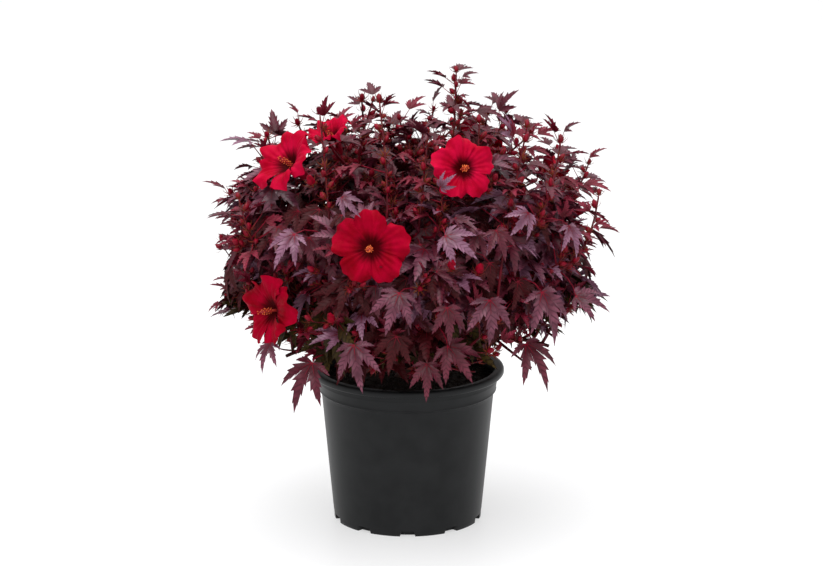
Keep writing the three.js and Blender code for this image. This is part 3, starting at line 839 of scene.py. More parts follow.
@dataclass
class Shoots:
    """Twigs by the source's rule, upright stems, and the finer shoots that grow on from them.

    Each kind has its radii at foot and tip. The tall twigs are given by their tips, and the upright
    stems by the place low on them and by their tips. The reach is a share of the crown's, and the
    thinning has the height where it sets in, the height over which it grows and its greatest share.
    """

    crown: Crown
    masses: list[Mass]
    twig_count: int = 82
    twig_lowest: float = -34.0
    twig_reach: Pair = (0.5, 0.86)
    twig_places: Pair = (0.25, 0.98)
    twig_lift: float = 0.16
    twig_radii: Pair = (2.4, 1.0)
    upright_radii: Pair = (2.1, 1.2)
    upright_bow: float = 0.12
    behind: Triple = (-0.94, -1.0, 0.94)
    fine_count: int = 300
    fine_lowest: float = -31.0
    fine_reach: Pair = (0.56, 0.95)
    fine_clump: float = 0.84
    fine_thinning: Triple = (390, 120, 0.85)
    fine_lift: float = 0.24
    fine_radii: Pair = (1.4, 0.7)
    above_skirt: float = 8.0
    sag: float = 0.6
    fork_places: tuple[float, float, int] = (0.25, 0.85, 8)
    fork_scale: Triple = (1.0, 1.0, 0.62)
    fork_inset: float = 0.12
    inset_toll: float = 400.0
    height_toll: float = 1.2
    stations: int = 9
    sides: int = 6
    tall: tuple[Triple, ...] = (
        (65, 5, 620), (-49, -25, 598), (-87, 30, 556), (135, 45, 567), (210, -15, 540), (-117, -60, 580),
        (165, -60, 563), (250, 20, 500), (-10, 95, 545), (70, 140, 535), (-110, 130, 530), (-200, 60, 520),
    )
    upright: tuple[tuple[Triple, Triple], ...] = (
        ((-103, -205, 480), (-119, -85, 594)), ((121, -236, 422), (162, -88, 577)),
        ((-21, -215, 500), (-38, -58, 606)), ((59, -238, 455), (41, -130, 550)),
        ((185, -188, 456), (208, -92, 556)), ((-211, -165, 428), (-229, -102, 480)),
        ((17, -220, 490), (28, -97, 572)), ((246, -140, 396), (262, -62, 476)),
        ((62, -60, 540), (67, 0, 634)), ((96, -110, 500), (98, -60, 576)),
    )

    def __post_init__(self) -> None:
        """Grows the twigs, the upright stems that stand out of the crown's face, then finer shoots."""
        self.centres = np.stack([mass.centre for mass in self.masses])
        self.start, self.bend, self.end = self._twigs()
        self.twig_total = len(self.start)
        self._add(self._upright_stems())
        leading_total = len(self.start)
        self._add(self._fine_shoots())
        number = np.arange(len(self.start))
        self.leading = (number >= self.twig_count) & (number < leading_total)
        kinds = [number < self.twig_total, number < leading_total]
        radii = zip(self.twig_radii, self.upright_radii, self.fine_radii)
        self.thick, self.thin = (np.select(kinds, [twig, stem], fine) for twig, stem, fine in radii)

    def _add(self, curves: tuple[Array, Array, Array]) -> None:
        """Adds curves, each given by start, bend and end, to the shoots."""
        self.start = np.concatenate([self.start, curves[0]])
        self.bend = np.concatenate([self.bend, curves[1]])
        self.end = np.concatenate([self.end, curves[2]])

    def _upright_stems(self) -> tuple[Array, Array, Array]:
        """Grows the stems that the photograph shows upright before the crown, and their like behind.

        Each forks from the twigs near its low place and turns up there to its tip.
        """
        pairs = np.array(self.upright, float)
        pairs = np.concatenate([pairs, pairs * np.array(self.behind)])
        foot, tip = pairs[:, 0], pairs[:, 1]
        return self._forks(foot), foot + (foot - tip) * self.upright_bow, tip

    def _forks(self, ends: Array) -> Array:
        """Finds where new shoots fork from those so far.

        It is the place that lies nearest to the shoot's end among those further in. Level distance
        counts more than height, so that shoots rise, and places that are less than the inset further
        in, or above the end, bear a toll.

        Args:
            ends: where the new shoots lead, shape (n, 3).

        Returns:
            The forks, shape (n, 3).
        """
        places = bezier(self.start, self.bend, self.end, np.linspace(*self.fork_places)).reshape(-1, 3)
        gaps = (ends[:, None] - places[None]) * np.array(self.fork_scale)
        depth = self.crown.share(ends)[:, None] - self.crown.share(places)[None]
        above = np.maximum(places[None, :, 2] - ends[:, None, 2], 0)
        toll = self.inset_toll * np.maximum(self.fork_inset - depth, 0) + self.height_toll * above
        return places[np.argmin(np.linalg.norm(gaps, axis=-1) + toll, axis=1)]

    def nearest(self, points: Array) -> Array:
        """Gives the number of the mass whose centre is nearest to each point."""
        return np.argmin(np.linalg.norm(points[:, None] - self.centres[None], axis=-1), axis=1)

    def bent(self, start: Array, end: Array, lift: float) -> Array:
        """Gives the middle control point, pushed outward and down so that the end stands upright."""
        chord = np.linalg.norm(end - start, axis=-1, keepdims=True)
        return lerp(start, end, 0.5) + outward(end) * chord * lift - UP * chord * lift * self.sag

    def _twigs(self) -> tuple[Array, Array, Array]:
        """Grows each twig from its mass's stem to its end, by the source's rule."""
        ends = np.concatenate([
            self.crown.spread(self.twig_count, self.twig_lowest, *self.twig_reach, Draw.TWIG_REACH),
            np.array(self.tall, float),
        ])
        owner = self.nearest(ends)
        start = np.zeros_like(ends)
        for number, mass in enumerate(self.masses):
            mine = np.flatnonzero(owner == number)
            shares = lerp(*self.twig_places, (np.arange(len(mine)) + 0.5) / max(len(mine), 1))
            start[mine] = point_at(mass.stem, shares)
        return start, self.bent(start, ends, self.twig_lift), ends

    def _fine_shoots(self) -> tuple[Array, Array, Array]:
        """Grows finer shoots to points spread over the crown in clumps, fewer of them high up."""
        spread = self.crown.spread(self.fine_count, self.fine_lowest, *self.fine_reach, Draw.FINE_REACH)
        middle = UP * self.crown.middle
        clumped = middle + (spread - middle) * lerp(self.fine_clump, 1.0, self.crown.lump(spread))[:, None]
        luck = chance(np.arange(self.fine_count), Draw.FINE_KEPT)
        lowest, height, most = self.fine_thinning
        ends = clumped[luck > most * np.clip((clumped[:, 2] - lowest) / height, 0, 1)]
        ends[:, 2] = np.maximum(ends[:, 2], Sprays.skirt(ends) + self.above_skirt)
        start = self._forks(ends)
        return start, self.bent(start, ends, self.fine_lift), ends

    def surface(self) -> Surface:
        """Builds all the shoots as round tubes that taper evenly."""
        shares = np.linspace(0, 1, self.stations)
        radii = lerp(self.thick[:, None], self.thin[:, None], shares[None])
        return tubes(bezier(self.start, self.bend, self.end, shares), radii, self.sides)

    def lengths(self) -> Array:
        """Gives the shoots' lengths along their curves."""
        points = bezier(self.start, self.bend, self.end, np.linspace(0, 1, self.stations))
        return np.linalg.norm(np.diff(points, axis=1), axis=-1).sum(axis=1)

    @staticmethod
    def spokes(root: Array, tangent: Array, turn: Array) -> Array:
        """Gives the direction square to a shoot at each turn round it, in radians."""
        side = square_to(UP + 0.01 * outward(root), tangent)
        return np.cos(turn) * side + np.sin(turn) * np.cross(tangent, side)

    def at(self, shoot: Array, share: Array) -> tuple[Array, Array]:
        """Gives points on shoots and the directions there.

        Args:
            shoot: the shoots' numbers.
            share: the place on each one's curve.

        Returns:
            The points and the unit tangents, each of shape (n, 3).
        """
        start, bend, end = self.start[shoot], self.bend[shoot], self.end[shoot]
        point = bezier(start, bend, end, share[:, None])[:, 0]
        slope = (bend - start) * (1 - share[:, None]) + (end - bend) * share[:, None]
        return point, unit(slope)


@dataclass(frozen=True)
class BlossomPlace:
    """Where a blossom stands, where it faces, how large it is and how deep its funnel."""

    x: float
    y: float
    z: float
    turn: float
    climb: float
    size: float
    cup: float = 0.26


BLOSSOM_PLACES = (
    BlossomPlace(-48, -238, 450, 262, 12, 1.0),
    BlossomPlace(73, -178, 543, 286, 24, 0.88, 0.3),
    BlossomPlace(-151, -100, 525, 206, 40, 1.05, 0.5),
    BlossomPlace(-176, -158, 342, 213, 6, 1.02, 0.36),
    BlossomPlace(-98, -24, 541, 206, 62, 0.76, 0.7),
    BlossomPlace(205, 120, 440, 30, 16, 1.0),
    BlossomPlace(96, 178, 486, 62, 30, 0.95, 0.4),
    BlossomPlace(-60, 236, 436, 104, 10, 1.0),
    BlossomPlace(-212, 122, 424, 150, 14, 0.95),
    BlossomPlace(118, 214, 318, 60, 2, 1.0, 0.36),
)


@dataclass
class Blossoms:
    """Five broad petals round a stamen column, with calyx and stalk.

    Half angles are in degrees. Waves across a petal have their size, their pitch by u and the power
    of v that they grow with. The column's sizes are in millimetres for a blossom of full size.
    """

    shoots: Shoots
    radius: float = 52.0
    petals: int = 5
    rows: int = 17
    columns: int = 27
    throat_start: float = 0.03
    throat_half: float = 41.0
    rim_half: float = 37.5
    rim_half_swing: float = 2.5
    sway: float = 0.07
    stretch: float = 0.06
    shallow_cup: float = 0.3
    corner_cut: float = 0.2
    scallops: tuple[tuple[float, float, int], ...] = ((0.022, 13, 6), (0.016, 4, 3))
    fine_pleats: Pair = (0.018, 17)
    broad_pleats: tuple[float, float, int] = (0.045, 5, 2)
    ruffles: tuple[tuple[float, float, int], ...] = ((0.11, 5.5, 4), (0.035, 12, 6))
    curl: float = 0.16
    curl_start: float = 0.72
    lap: float = 0.05
    nod: float = 0.08
    streaks: tuple[Pair, ...] = ((0.022, 15), (0.03, 5))
    column_length: float = 27.0
    column_bow: float = 2.0
    column_radii: Pair = (2.6, 1.2)
    column_stations: int = 7
    thread_radii: Triple = (0.45, 0.4, 0.35)
    anthers: int = 38
    stigmas: int = 5
    anther_reach: Pair = (2.4, 4.6)
    anther_ahead: float = 1.4
    stigma_reach: float = 2.2
    stigma_ahead: float = 5.0
    grain_size: Pair = (0.7, 1.15)
    stalk_place: float = 0.55
    stalk_foot: float = 0.36
    stalk_lift: float = 0.1
    stalk_radii: Pair = (2.4, 1.8)
    stalk_stations: int = 9
    room: Pair = (-6, 95)
    small_size: float = 0.7
    small_room: float = 22.0
    room_shares: Pair = (0.75, 1.02)
    room_opening: float = 20.0
    painted_light_from: float = 500.0

    def __post_init__(self) -> None:
        """Sets up the frame of each blossom."""
        places = BLOSSOM_PLACES
        self.centre = np.array([[each.x, each.y, each.z] for each in places], float)
        self.size = np.array([each.size for each in places])
        self.facing = np.stack([heading(each.turn, each.climb) for each in places])
        self.side = square_to(np.broadcast_to(UP, self.facing.shape), self.facing)
        self.other = np.cross(self.facing, self.side)

    def placed(self, level: Array, turn: Array, height: Array, numbers: Array) -> Array:
        """Puts points given round a blossom's axis into place.

        Args:
            level: distance from the axis.
            turn: angle round it.
            height: distance ahead of the centre.
            numbers: the blossom that each belongs to.

        Returns:
            The points, with a last axis of 3.
        """
        side, other, facing = self.side[numbers], self.other[numbers], self.facing[numbers]
        spoke = np.cos(turn)[..., None] * side + np.sin(turn)[..., None] * other
        return self.centre[numbers] + level[..., None] * spoke + height[..., None] * facing

    def petal_surface(self, chosen: Array) -> Surface:
        """Builds the petals of the chosen blossoms.

        A petal is a grid of u, from -1 to 1 across, and v, from near 0 at the throat to 1. Its half
        angle narrows a little from throat to rim. The level is the radius times v, less where u nears
        its ends so that the rim is round, with small scallops. The height is a sine of v that levels
        off, plus pleats along the petal, ruffles that grow towards the rim, a rim that curls back, a
        tilt by u that laps each petal over the next, and a nod of the whole petal.

        Args:
            chosen: whether each blossom is built.

        Returns:
            The petals, with v and a few streaks as their depth.
        """
        flower = np.arange(len(self.size))[:, None, None, None]
        petal = np.arange(self.petals)[None, :, None, None]
        v = np.linspace(self.throat_start, 1, self.rows)[None, None, :, None]
        u = np.linspace(-1, 1, self.columns)[None, None, None, :]
        radius = (self.radius * self.size)[:, None, None, None]
        phase = [2 * np.pi * chance(flower, petal, Draw.PETALS + number) for number in range(10)]
        rim_half = self.rim_half + self.rim_half_swing * np.sin(phase[0])
        half = np.radians(lerp(self.throat_half, rim_half, v**1.5))
        turn = petal * 2 * np.pi / self.petals + u * half + self.sway * np.sin(phase[1]) * v**2
        stretch = 1 + self.stretch * np.sin(phase[2])
        scallop = sum(
            size * np.sin(pitch * u + phase[3 + number]) * v**power
            for number, (size, pitch, power) in enumerate(self.scallops))
        cup = np.array([each.cup for each in BLOSSOM_PLACES])[:, None, None, None]
        narrow = 1 - 0.5 * np.maximum(cup - self.shallow_cup, 0) * v
        rounded = 1 - self.corner_cut * np.abs(u) ** 2.6 * v**2 + scallop
        level = radius * stretch * narrow * v * rounded
        rise = cup * np.sin(0.5 * np.pi * v**0.75)
        size, pitch = self.fine_pleats
        pleats = size * np.cos(pitch * u) * np.sin(np.pi * v**1.5)
        size, pitch, power = self.broad_pleats
        pleats = pleats + size * np.cos(pitch * u + phase[5]) * v**power
        ruffle = sum(
            size * np.sin(pitch * u + phase[6 + number]) * v**power
            for number, (size, pitch, power) in enumerate(self.ruffles))
        outer = (np.maximum(v - self.curl_start, 0) / (1 - self.curl_start)) ** 2
        curl = -self.curl * outer * (0.6 + 0.4 * np.cos(3 * u + phase[8]))
        lap = self.lap * u * v**1.2
        nod = self.nod * np.sin(phase[9]) * v**2
        height = radius * (rise + pleats + ruffle + curl + lap + nod)
        shape = np.broadcast_shapes(level.shape, turn.shape, height.shape)
        level, turn, height = (np.broadcast_to(each, shape) for each in (level, turn, height))
        points = self.placed(level, turn, height, np.broadcast_to(flower, shape))
        surface = repeated(
            points[chosen].reshape(-1, self.rows * self.columns, 3),
            grid_quads(self.rows, self.columns, False),
        )
        streaks = sum(
            size * np.cos(pitch * u + phase[3 + number])
            for number, (size, pitch) in enumerate(self.streaks))
        surface.depth = np.broadcast_to(v + streaks, shape)[chosen].reshape(-1)
        return surface

    def column_points(self, shares: Array) -> Array:
        """Gives points on the axes of the stamen columns, which bow a little.

        Args:
            shares: the places along each blossom's column, shape (blossoms, n).

        Returns:
            The points, shape (blossoms, n, 3).
        """
        numbers = np.broadcast_to(np.arange(len(self.size))[:, None], shares.shape)
        length = (self.column_length * self.size)[:, None]
        bow = self.column_bow * shares**2
        return self.placed(bow, np.full(bow.shape, np.pi), length * (shares * 1.1 - 0.1), numbers)

    def column_surface(self) -> Surface:
        """Builds the stamen columns, with a filament to each anther and each stigma."""
        shape = (len(self.size), self.column_stations)
        paths = self.column_points(np.broadcast_to(np.linspace(0, 1, self.column_stations), shape))
        radii = np.broadcast_to(np.linspace(*self.column_radii, self.column_stations), shape)
        roots, tips = self.filaments()
        threads = np.stack([roots, lerp(roots, tips, 0.5), tips], axis=1)
        thin = np.broadcast_to(np.array(self.thread_radii), threads.shape[:2])
        return joined([tubes(paths, radii, 8), tubes(threads, thin, 3)])

    def filaments(self) -> tuple[Array, Array]:
        """Gives where each filament leaves its column and where its anther sits.

        They wind round the outer part of the column by the golden angle, and the last few, longer
        ones, bear the stigmas at the tip.
        """
        index = np.arange(self.anthers)[None]
        flower = np.arange(len(self.size))[:, None]
        share = lerp(0.4, 1.0, index / (self.anthers - 1)) + 0 * flower
        turn = index * GOLDEN_ANGLE + flower * 1.7
        at_tip = index >= self.anthers - self.stigmas
        common = lerp(*self.anther_reach, chance(flower, index, Draw.ANTHER_REACH))
        reach = np.where(at_tip, self.stigma_reach, common)
        ahead = np.broadcast_to(np.where(at_tip, self.stigma_ahead, self.anther_ahead), reach.shape)
        axis = self.column_points(share)
        numbers = np.broadcast_to(flower, share.shape)
        step = self.placed(reach, turn, ahead, numbers) - self.centre[numbers]
        return axis.reshape(-1, 3), (axis + step).reshape(-1, 3)

    def anther_surface(self) -> Surface:
        """Builds a small eight-faced grain at the end of each filament."""
        _, tips = self.filaments()
        size = lerp(*self.grain_size, chance(np.arange(len(tips)), Draw.ANTHER_SIZE))
        points = tips[:, None] + GRAIN_CORNERS[None] * size[:, None, None]
        return repeated(points, NO_QUADS, GRAIN_FACES)

    def calyx_surface(self) -> Surface:
        """Builds the calyx cups: a profile turned about the axis, with five pointed lobes."""
        rows, sides = 8, 20
        flower = np.arange(len(self.size))[:, None, None]
        v = np.linspace(0, 1, rows)[None, :, None]
        turn = around(sides)[None, None]
        radius = (self.radius * self.size)[:, None, None]
        lobe = 0.5 + 0.5 * np.cos(self.petals * turn)
        level = radius * lerp(0.03, 0.18, v**0.7) * (1 + 0.12 * lobe * v)
        height = radius * (lerp(-0.42, -0.02, v) + 0.16 * lobe * v**3 - 0.02)
        shape = np.broadcast_shapes(level.shape, height.shape, flower.shape)
        numbers = np.broadcast_to(flower, shape)
        level, turn, height = (np.broadcast_to(each, shape) for each in (level, turn, height))
        points = self.placed(level, turn, height, numbers).reshape(len(self.size), -1, 3)
        return repeated(points, grid_quads(rows, sides, True))

    def stalk_surface(self) -> Surface:
        """Builds the stalk of each blossom from its mass's stem, by the source's rule."""
        place = np.array([self.stalk_place])
        owner = self.shoots.nearest(self.centre)
        start = np.stack([point_at(self.shoots.masses[number].stem, place)[0] for number in owner])
        end = self.centre - self.facing * (self.radius * self.size * self.stalk_foot)[:, None]
        bend = self.shoots.bent(start, end, self.stalk_lift)
        shares = np.linspace(0, 1, self.stalk_stations)
        radii = np.broadcast_to(np.linspace(*self.stalk_radii, len(shares)), (len(start), len(shares)))
        return tubes(bezier(start, bend, end, shares), radii, 7)

    def in_front(self, points: Array) -> Array:
        """Tells which points lie in the room before some blossom's face, or within the blossom.

        The room is a cone that widens over its first part, and it is short before small blossoms.
        """
        behind, depth = self.room
        spokes = points[:, None] - self.centre[None]
        ahead = np.sum(spokes * self.facing[None], axis=-1)
        level = np.linalg.norm(spokes - ahead[..., None] * self.facing[None], axis=-1)
        reach = self.radius * self.size[None]
        cone = reach * lerp(*self.room_shares, np.clip(ahead / self.room_opening, 0, 1))
        depths = np.where(self.size < self.small_size, self.small_room, depth)
        return np.any((ahead > behind) & (ahead < depths) & (level < cone), axis=1)

    def build(self, nodes: list[str]) -> None:
        """Makes and dresses every piece of the blossoms, those high up with lighter petals as painted light
        from above.

        Args:
            nodes: the foliage nodes that the pieces stand for.
        """
        painted_light = self.centre[:, 2] > self.painted_light_from
        dress(self.petal_surface(~painted_light), "petals", PETAL_SILK, nodes)
        dress(self.petal_surface(painted_light), "petals_painted_light", PETAL_SILK_PAINTED_LIGHT, nodes)
        dress(self.column_surface(), "stamen_columns", STAMEN_SKIN, nodes)
        dress(self.anther_surface(), "anthers", POLLEN, nodes)
        calyxes = joined([self.calyx_surface(), self.stalk_surface()])
        dress(calyxes, "calyxes", BUD_SKIN, nodes)


@dataclass(frozen=True)
class LeafForm:
    """The outline of a leaf: lobes that spread from the petiole, each with teeth on both margins.

    Angles are in degrees from the middle lobe. Reaches, widths and the reaches of the sinuses between
    the lobes are shares of the leaf's length. The stations are the first and the last valley on a
    lobe, the lead is how far a tooth's point lies ahead of its valley, and the sinus beyond each outer
    lobe lies by the flare further round.
    """

    angles: tuple[float, ...]
    reaches: tuple[float, ...]
    widths: tuple[float, ...]
    sinus_reach: tuple[float, ...]
    teeth: int
    fold: float
    sweep: float = 0.1
    stations: Pair = (0.28, 0.84)
    tooth_lead: float = 0.045
    valley_width: float = 0.74
    tooth_width: float = 1.3
    flare: float = 42.0
    sinus_lift: float = 0.4
    vein_reach: float = 0.36
    vein_halves: Pair = (0.012, 0.001)
    vein_height: float = 0.008
    vein_stations: int = 4

    @staticmethod
    def profile(share: Array) -> Array:
        """Gives a lobe's half width at shares of its length, 2.9 s^0.8 (1-s), for a width of 1."""
        return 2.9 * share**0.8 * (1 - share)

    def margin(self, station: Array, factor: float) -> Array:
        """Gives a row of points on each side of each lobe, in shares of the lobe's own reach.

        Args:
            station: their places along the lobe, shape (1, 1, n).
            factor: their distance from the midrib, as a share of the profile.

        Returns:
            The places along and across, shape (lobes, 2, n, 2).
        """
        hands = np.array([-1.0, 1.0])[None, :, None]
        reaches = np.array(self.reaches)[:, None, None]
        widths = np.array(self.widths)[:, None, None]
        aside = hands * widths * self.profile(station) * factor / reaches
        return np.stack(np.broadcast_arrays(station, aside), axis=-1)

    def solid(self, flat: Array) -> Array:
        """Turns places on the lobes into points of the leaf.

        The lobe leans back by the sweep times the square of the place along it, and the blade rises
        from its midrib by the fold times the distance from it.

        Args:
            flat: the places along and across, shape (lobes, 2, n, 2).

        Returns:
            The points, shape (lobes, 2, n, 3).
        """
        angles = np.radians(np.array(self.angles))[:, None, None]
        reaches = np.array(self.reaches)[:, None, None, None]
        axis = np.stack([np.cos(angles), np.sin(angles)], axis=-1) * reaches
        normal = np.stack([-np.sin(angles), np.cos(angles)], axis=-1) * reaches
        along, aside = flat[..., :1], flat[..., 1:]
        level = along * axis + (aside - self.sweep * angles[..., None] * along**2) * normal
        return np.concatenate([level, np.abs(aside) * reaches * self.fold], axis=-1)

    def template(self) -> tuple[Array, Array, Array, Array]:
        """Works out one leaf of unit length in its own plane.

        The half width of a lobe is its profile times its width, less at the valleys and more at the
        teeth, whose points lie ahead of the valleys. Neighbouring lobes share their sinus.

        Returns:
            The points (x along, y across, z up), the quads, the triangles and each point's chart.
        """
        station = np.linspace(*self.stations, self.teeth + 1)[None, None]
        spine = np.concatenate([[0.0], station[0, 0, 1:], [1.0]])[None, None]
        flat = {
            "rib": self.margin(spine, 0.0),
            "valley": self.margin(station, self.valley_width),
            "peak": self.margin(station[..., 1:] + self.tooth_lead, self.tooth_width),
        }
        chart = {key: np.abs(value) for key, value in flat.items()}
        solid = {key: self.solid(value) for key, value in flat.items()}
        self._share_sinuses(solid["valley"])
        return self._faces(solid, chart)

    def _share_sinuses(self, valley: Array) -> None:
        """Moves the first valley of each lobe's side onto the sinus that it shares."""
        bounds = np.array(self.angles)
        middles = (bounds[1:] + bounds[:-1]) / 2
        edge = np.radians(np.concatenate([[bounds[0] - self.flare], middles, [bounds[-1] + self.flare]]))
        reach = np.array(self.sinus_reach)
        lift = reach * self.fold * self.sinus_lift
        points = np.stack([reach * np.cos(edge), reach * np.sin(edge), lift], axis=-1)
        valley[:, 0, 0] = points[:-1]
        valley[:, 1, 0] = points[1:]

    def _faces(self, solid: Frames, chart: Frames) -> tuple[Array, Array, Array, Array]:
        """Numbers the points and joins them, with doubles merged.

        Between midrib and margin run quads, a triangle makes each tooth, and one more the lobe's tip.
        """
        lobes = len(self.angles)
        rib, valley, peak = solid["rib"], solid["valley"], solid["peak"]
        counts = (rib.shape[2], valley.shape[2], peak.shape[2])
        points = np.concatenate([rib, valley, peak], axis=2).reshape(-1, 3)
        places = np.concatenate([chart[key] for key in ("rib", "valley", "peak")], axis=2).reshape(-1, 2)
        start = (np.arange(lobes * 2) * sum(counts))[:, None]
        step = np.arange(self.teeth)[None]
        c0, c1 = start + step, start + step + 1
        v0, v1 = start + counts[0] + step, start + counts[0] + step + 1
        p1 = start + counts[0] + counts[1] + step
        quads = np.stack([c0, c1, v1, v0], axis=-1)
        teeth = np.stack([v0, v1, p1], axis=-1)
        tips = np.stack([start + self.teeth, start + self.teeth + 1, start + counts[0] + self.teeth], axis=-1)
        right = (np.arange(lobes * 2) % 2 == 0)[:, None, None]
        quads = np.where(right, quads[..., ::-1], quads).reshape(-1, 4)
        teeth = np.where(right, teeth[..., ::-1], teeth).reshape(-1, 3)
        tips = np.where(right, tips[..., ::-1], tips).reshape(-1, 3)
        _, first, number = np.unique(np.round(points, 6), axis=0, return_index=True, return_inverse=True)
        number = number.reshape(-1)
        return points[first], number[quads], number[np.concatenate([teeth, tips])], places[first]

    def veins(self) -> tuple[Array, Array]:
        """Works out a narrow raised strip along each lobe's midrib.

        Returns:
            The points and the quads.
        """
        angles = np.radians(np.array(self.angles))[:, None]
        reaches = np.array(self.reaches)[:, None]
        share = np.linspace(0, self.vein_reach, self.vein_stations)[None]
        half = lerp(*self.vein_halves, share / self.vein_reach) + 0 * angles
        aside = -self.sweep * angles * share**2
        spine = np.stack([
            reaches * (np.cos(angles) * share - np.sin(angles) * aside),
            reaches * (np.sin(angles) * share + np.cos(angles) * aside),
            self.vein_height + 0 * angles * share,
        ], axis=-1)
        across = np.stack([-np.sin(angles), np.cos(angles), 0 * angles], axis=-1)
        left, right = spine - across * half[..., None], spine + across * half[..., None]
        points = np.stack([left, right], axis=2).reshape(-1, 3)
        lobe = (np.arange(len(self.angles)) * 2 * self.vein_stations)[:, None]
        step = np.arange(self.vein_stations - 1)[None] * 2
        quads = np.stack([lobe + step, lobe + step + 2, lobe + step + 3, lobe + step + 1], axis=-1)
        return points, quads.reshape(-1, 4)


GROWN_LEAF = LeafForm(
    (-92, -44, 0, 44, 92), (0.48, 0.84, 1.0, 0.84, 0.48), (0.09, 0.15, 0.175, 0.15, 0.09),
    (0.05, 0.14, 0.23, 0.23, 0.14, 0.05), 3, 0.65)
YOUNG_LEAF = LeafForm(
    (-46, 0, 46), (0.74, 1.0, 0.74), (0.14, 0.185, 0.14), (0.08, 0.27, 0.27, 0.08), 3, 0.8)


@dataclass(frozen=True)
class LeafPlace:
    """A leaf that the photograph shows in full: its base, the tip of its middle lobe and its tone."""

    base: Triple
    tip: Triple
    tone: Tone


# The mauve tone paints the sheen of leaves lit from above, and the dark tone the shade on one low in the
# crown
LEAF_PLACES = (
    LeafPlace((-11, -262, 394), (-30, -272, 336), Tone.PLUM),
    LeafPlace((110, -246, 380), (109, -256, 318), Tone.PLUM),
    LeafPlace((181, -205, 380), (198, -216, 306), Tone.PLUM),
    LeafPlace((-72, -240, 316), (-60, -250, 250), Tone.PLUM),
    LeafPlace((26, -242, 290), (25, -252, 238), Tone.WINE),
    LeafPlace((-129, -206, 281), (-154, -216, 212), Tone.WINE),
    LeafPlace((160, -200, 306), (190, -210, 240), Tone.WINE),
    LeafPlace((-151, -226, 466), (-179, -238, 418), Tone.PAINTED_MAUVE_SHEEN),
    LeafPlace((50, -258, 472), (94, -263, 440), Tone.PAINTED_MAUVE_SHEEN),
    LeafPlace((118, -236, 474), (131, -248, 432), Tone.WINE),
    LeafPlace((218, -166, 462), (228, -176, 418), Tone.PAINTED_MAUVE_SHEEN),
    LeafPlace((162, -204, 490), (136, -226, 462), Tone.PAINTED_MAUVE_SHEEN),
    LeafPlace((228, -166, 364), (276, -158, 338), Tone.PLUM),
    LeafPlace((53, -262, 374), (56, -264, 320), Tone.WINE),
    LeafPlace((-15, -248, 330), (-26, -252, 278), Tone.PAINTED_SHADE),
    LeafPlace((54, -240, 314), (88, -246, 263), Tone.WINE),
    LeafPlace((44, -222, 530), (66, -228, 550), Tone.PAINTED_MAUVE_SHEEN),
    LeafPlace((-87, -236, 520), (-62, -248, 494), Tone.PAINTED_MAUVE_SHEEN),
    LeafPlace((-186, -186, 303), (-197, -196, 262), Tone.PLUM),
)


# The heights between which leaves change from low to high ones. The skirt is how low leaves may hang:
# the x of its low part, half the width of that, the width over which it rises to its second height,
# and the depth beyond which it rises to front and back, with the slope there
HIGH_FROM, HIGH_TO = 370.0, 520.0
SKIRT_MIDDLE, SKIRT_HALF, SKIRT_SLOPE = -22.0, 78.0, 105.0
SKIRT_HEIGHTS = (238.0, 292.0)
SKIRT_DEPTH, SKIRT_RISE = 135.0, 0.24


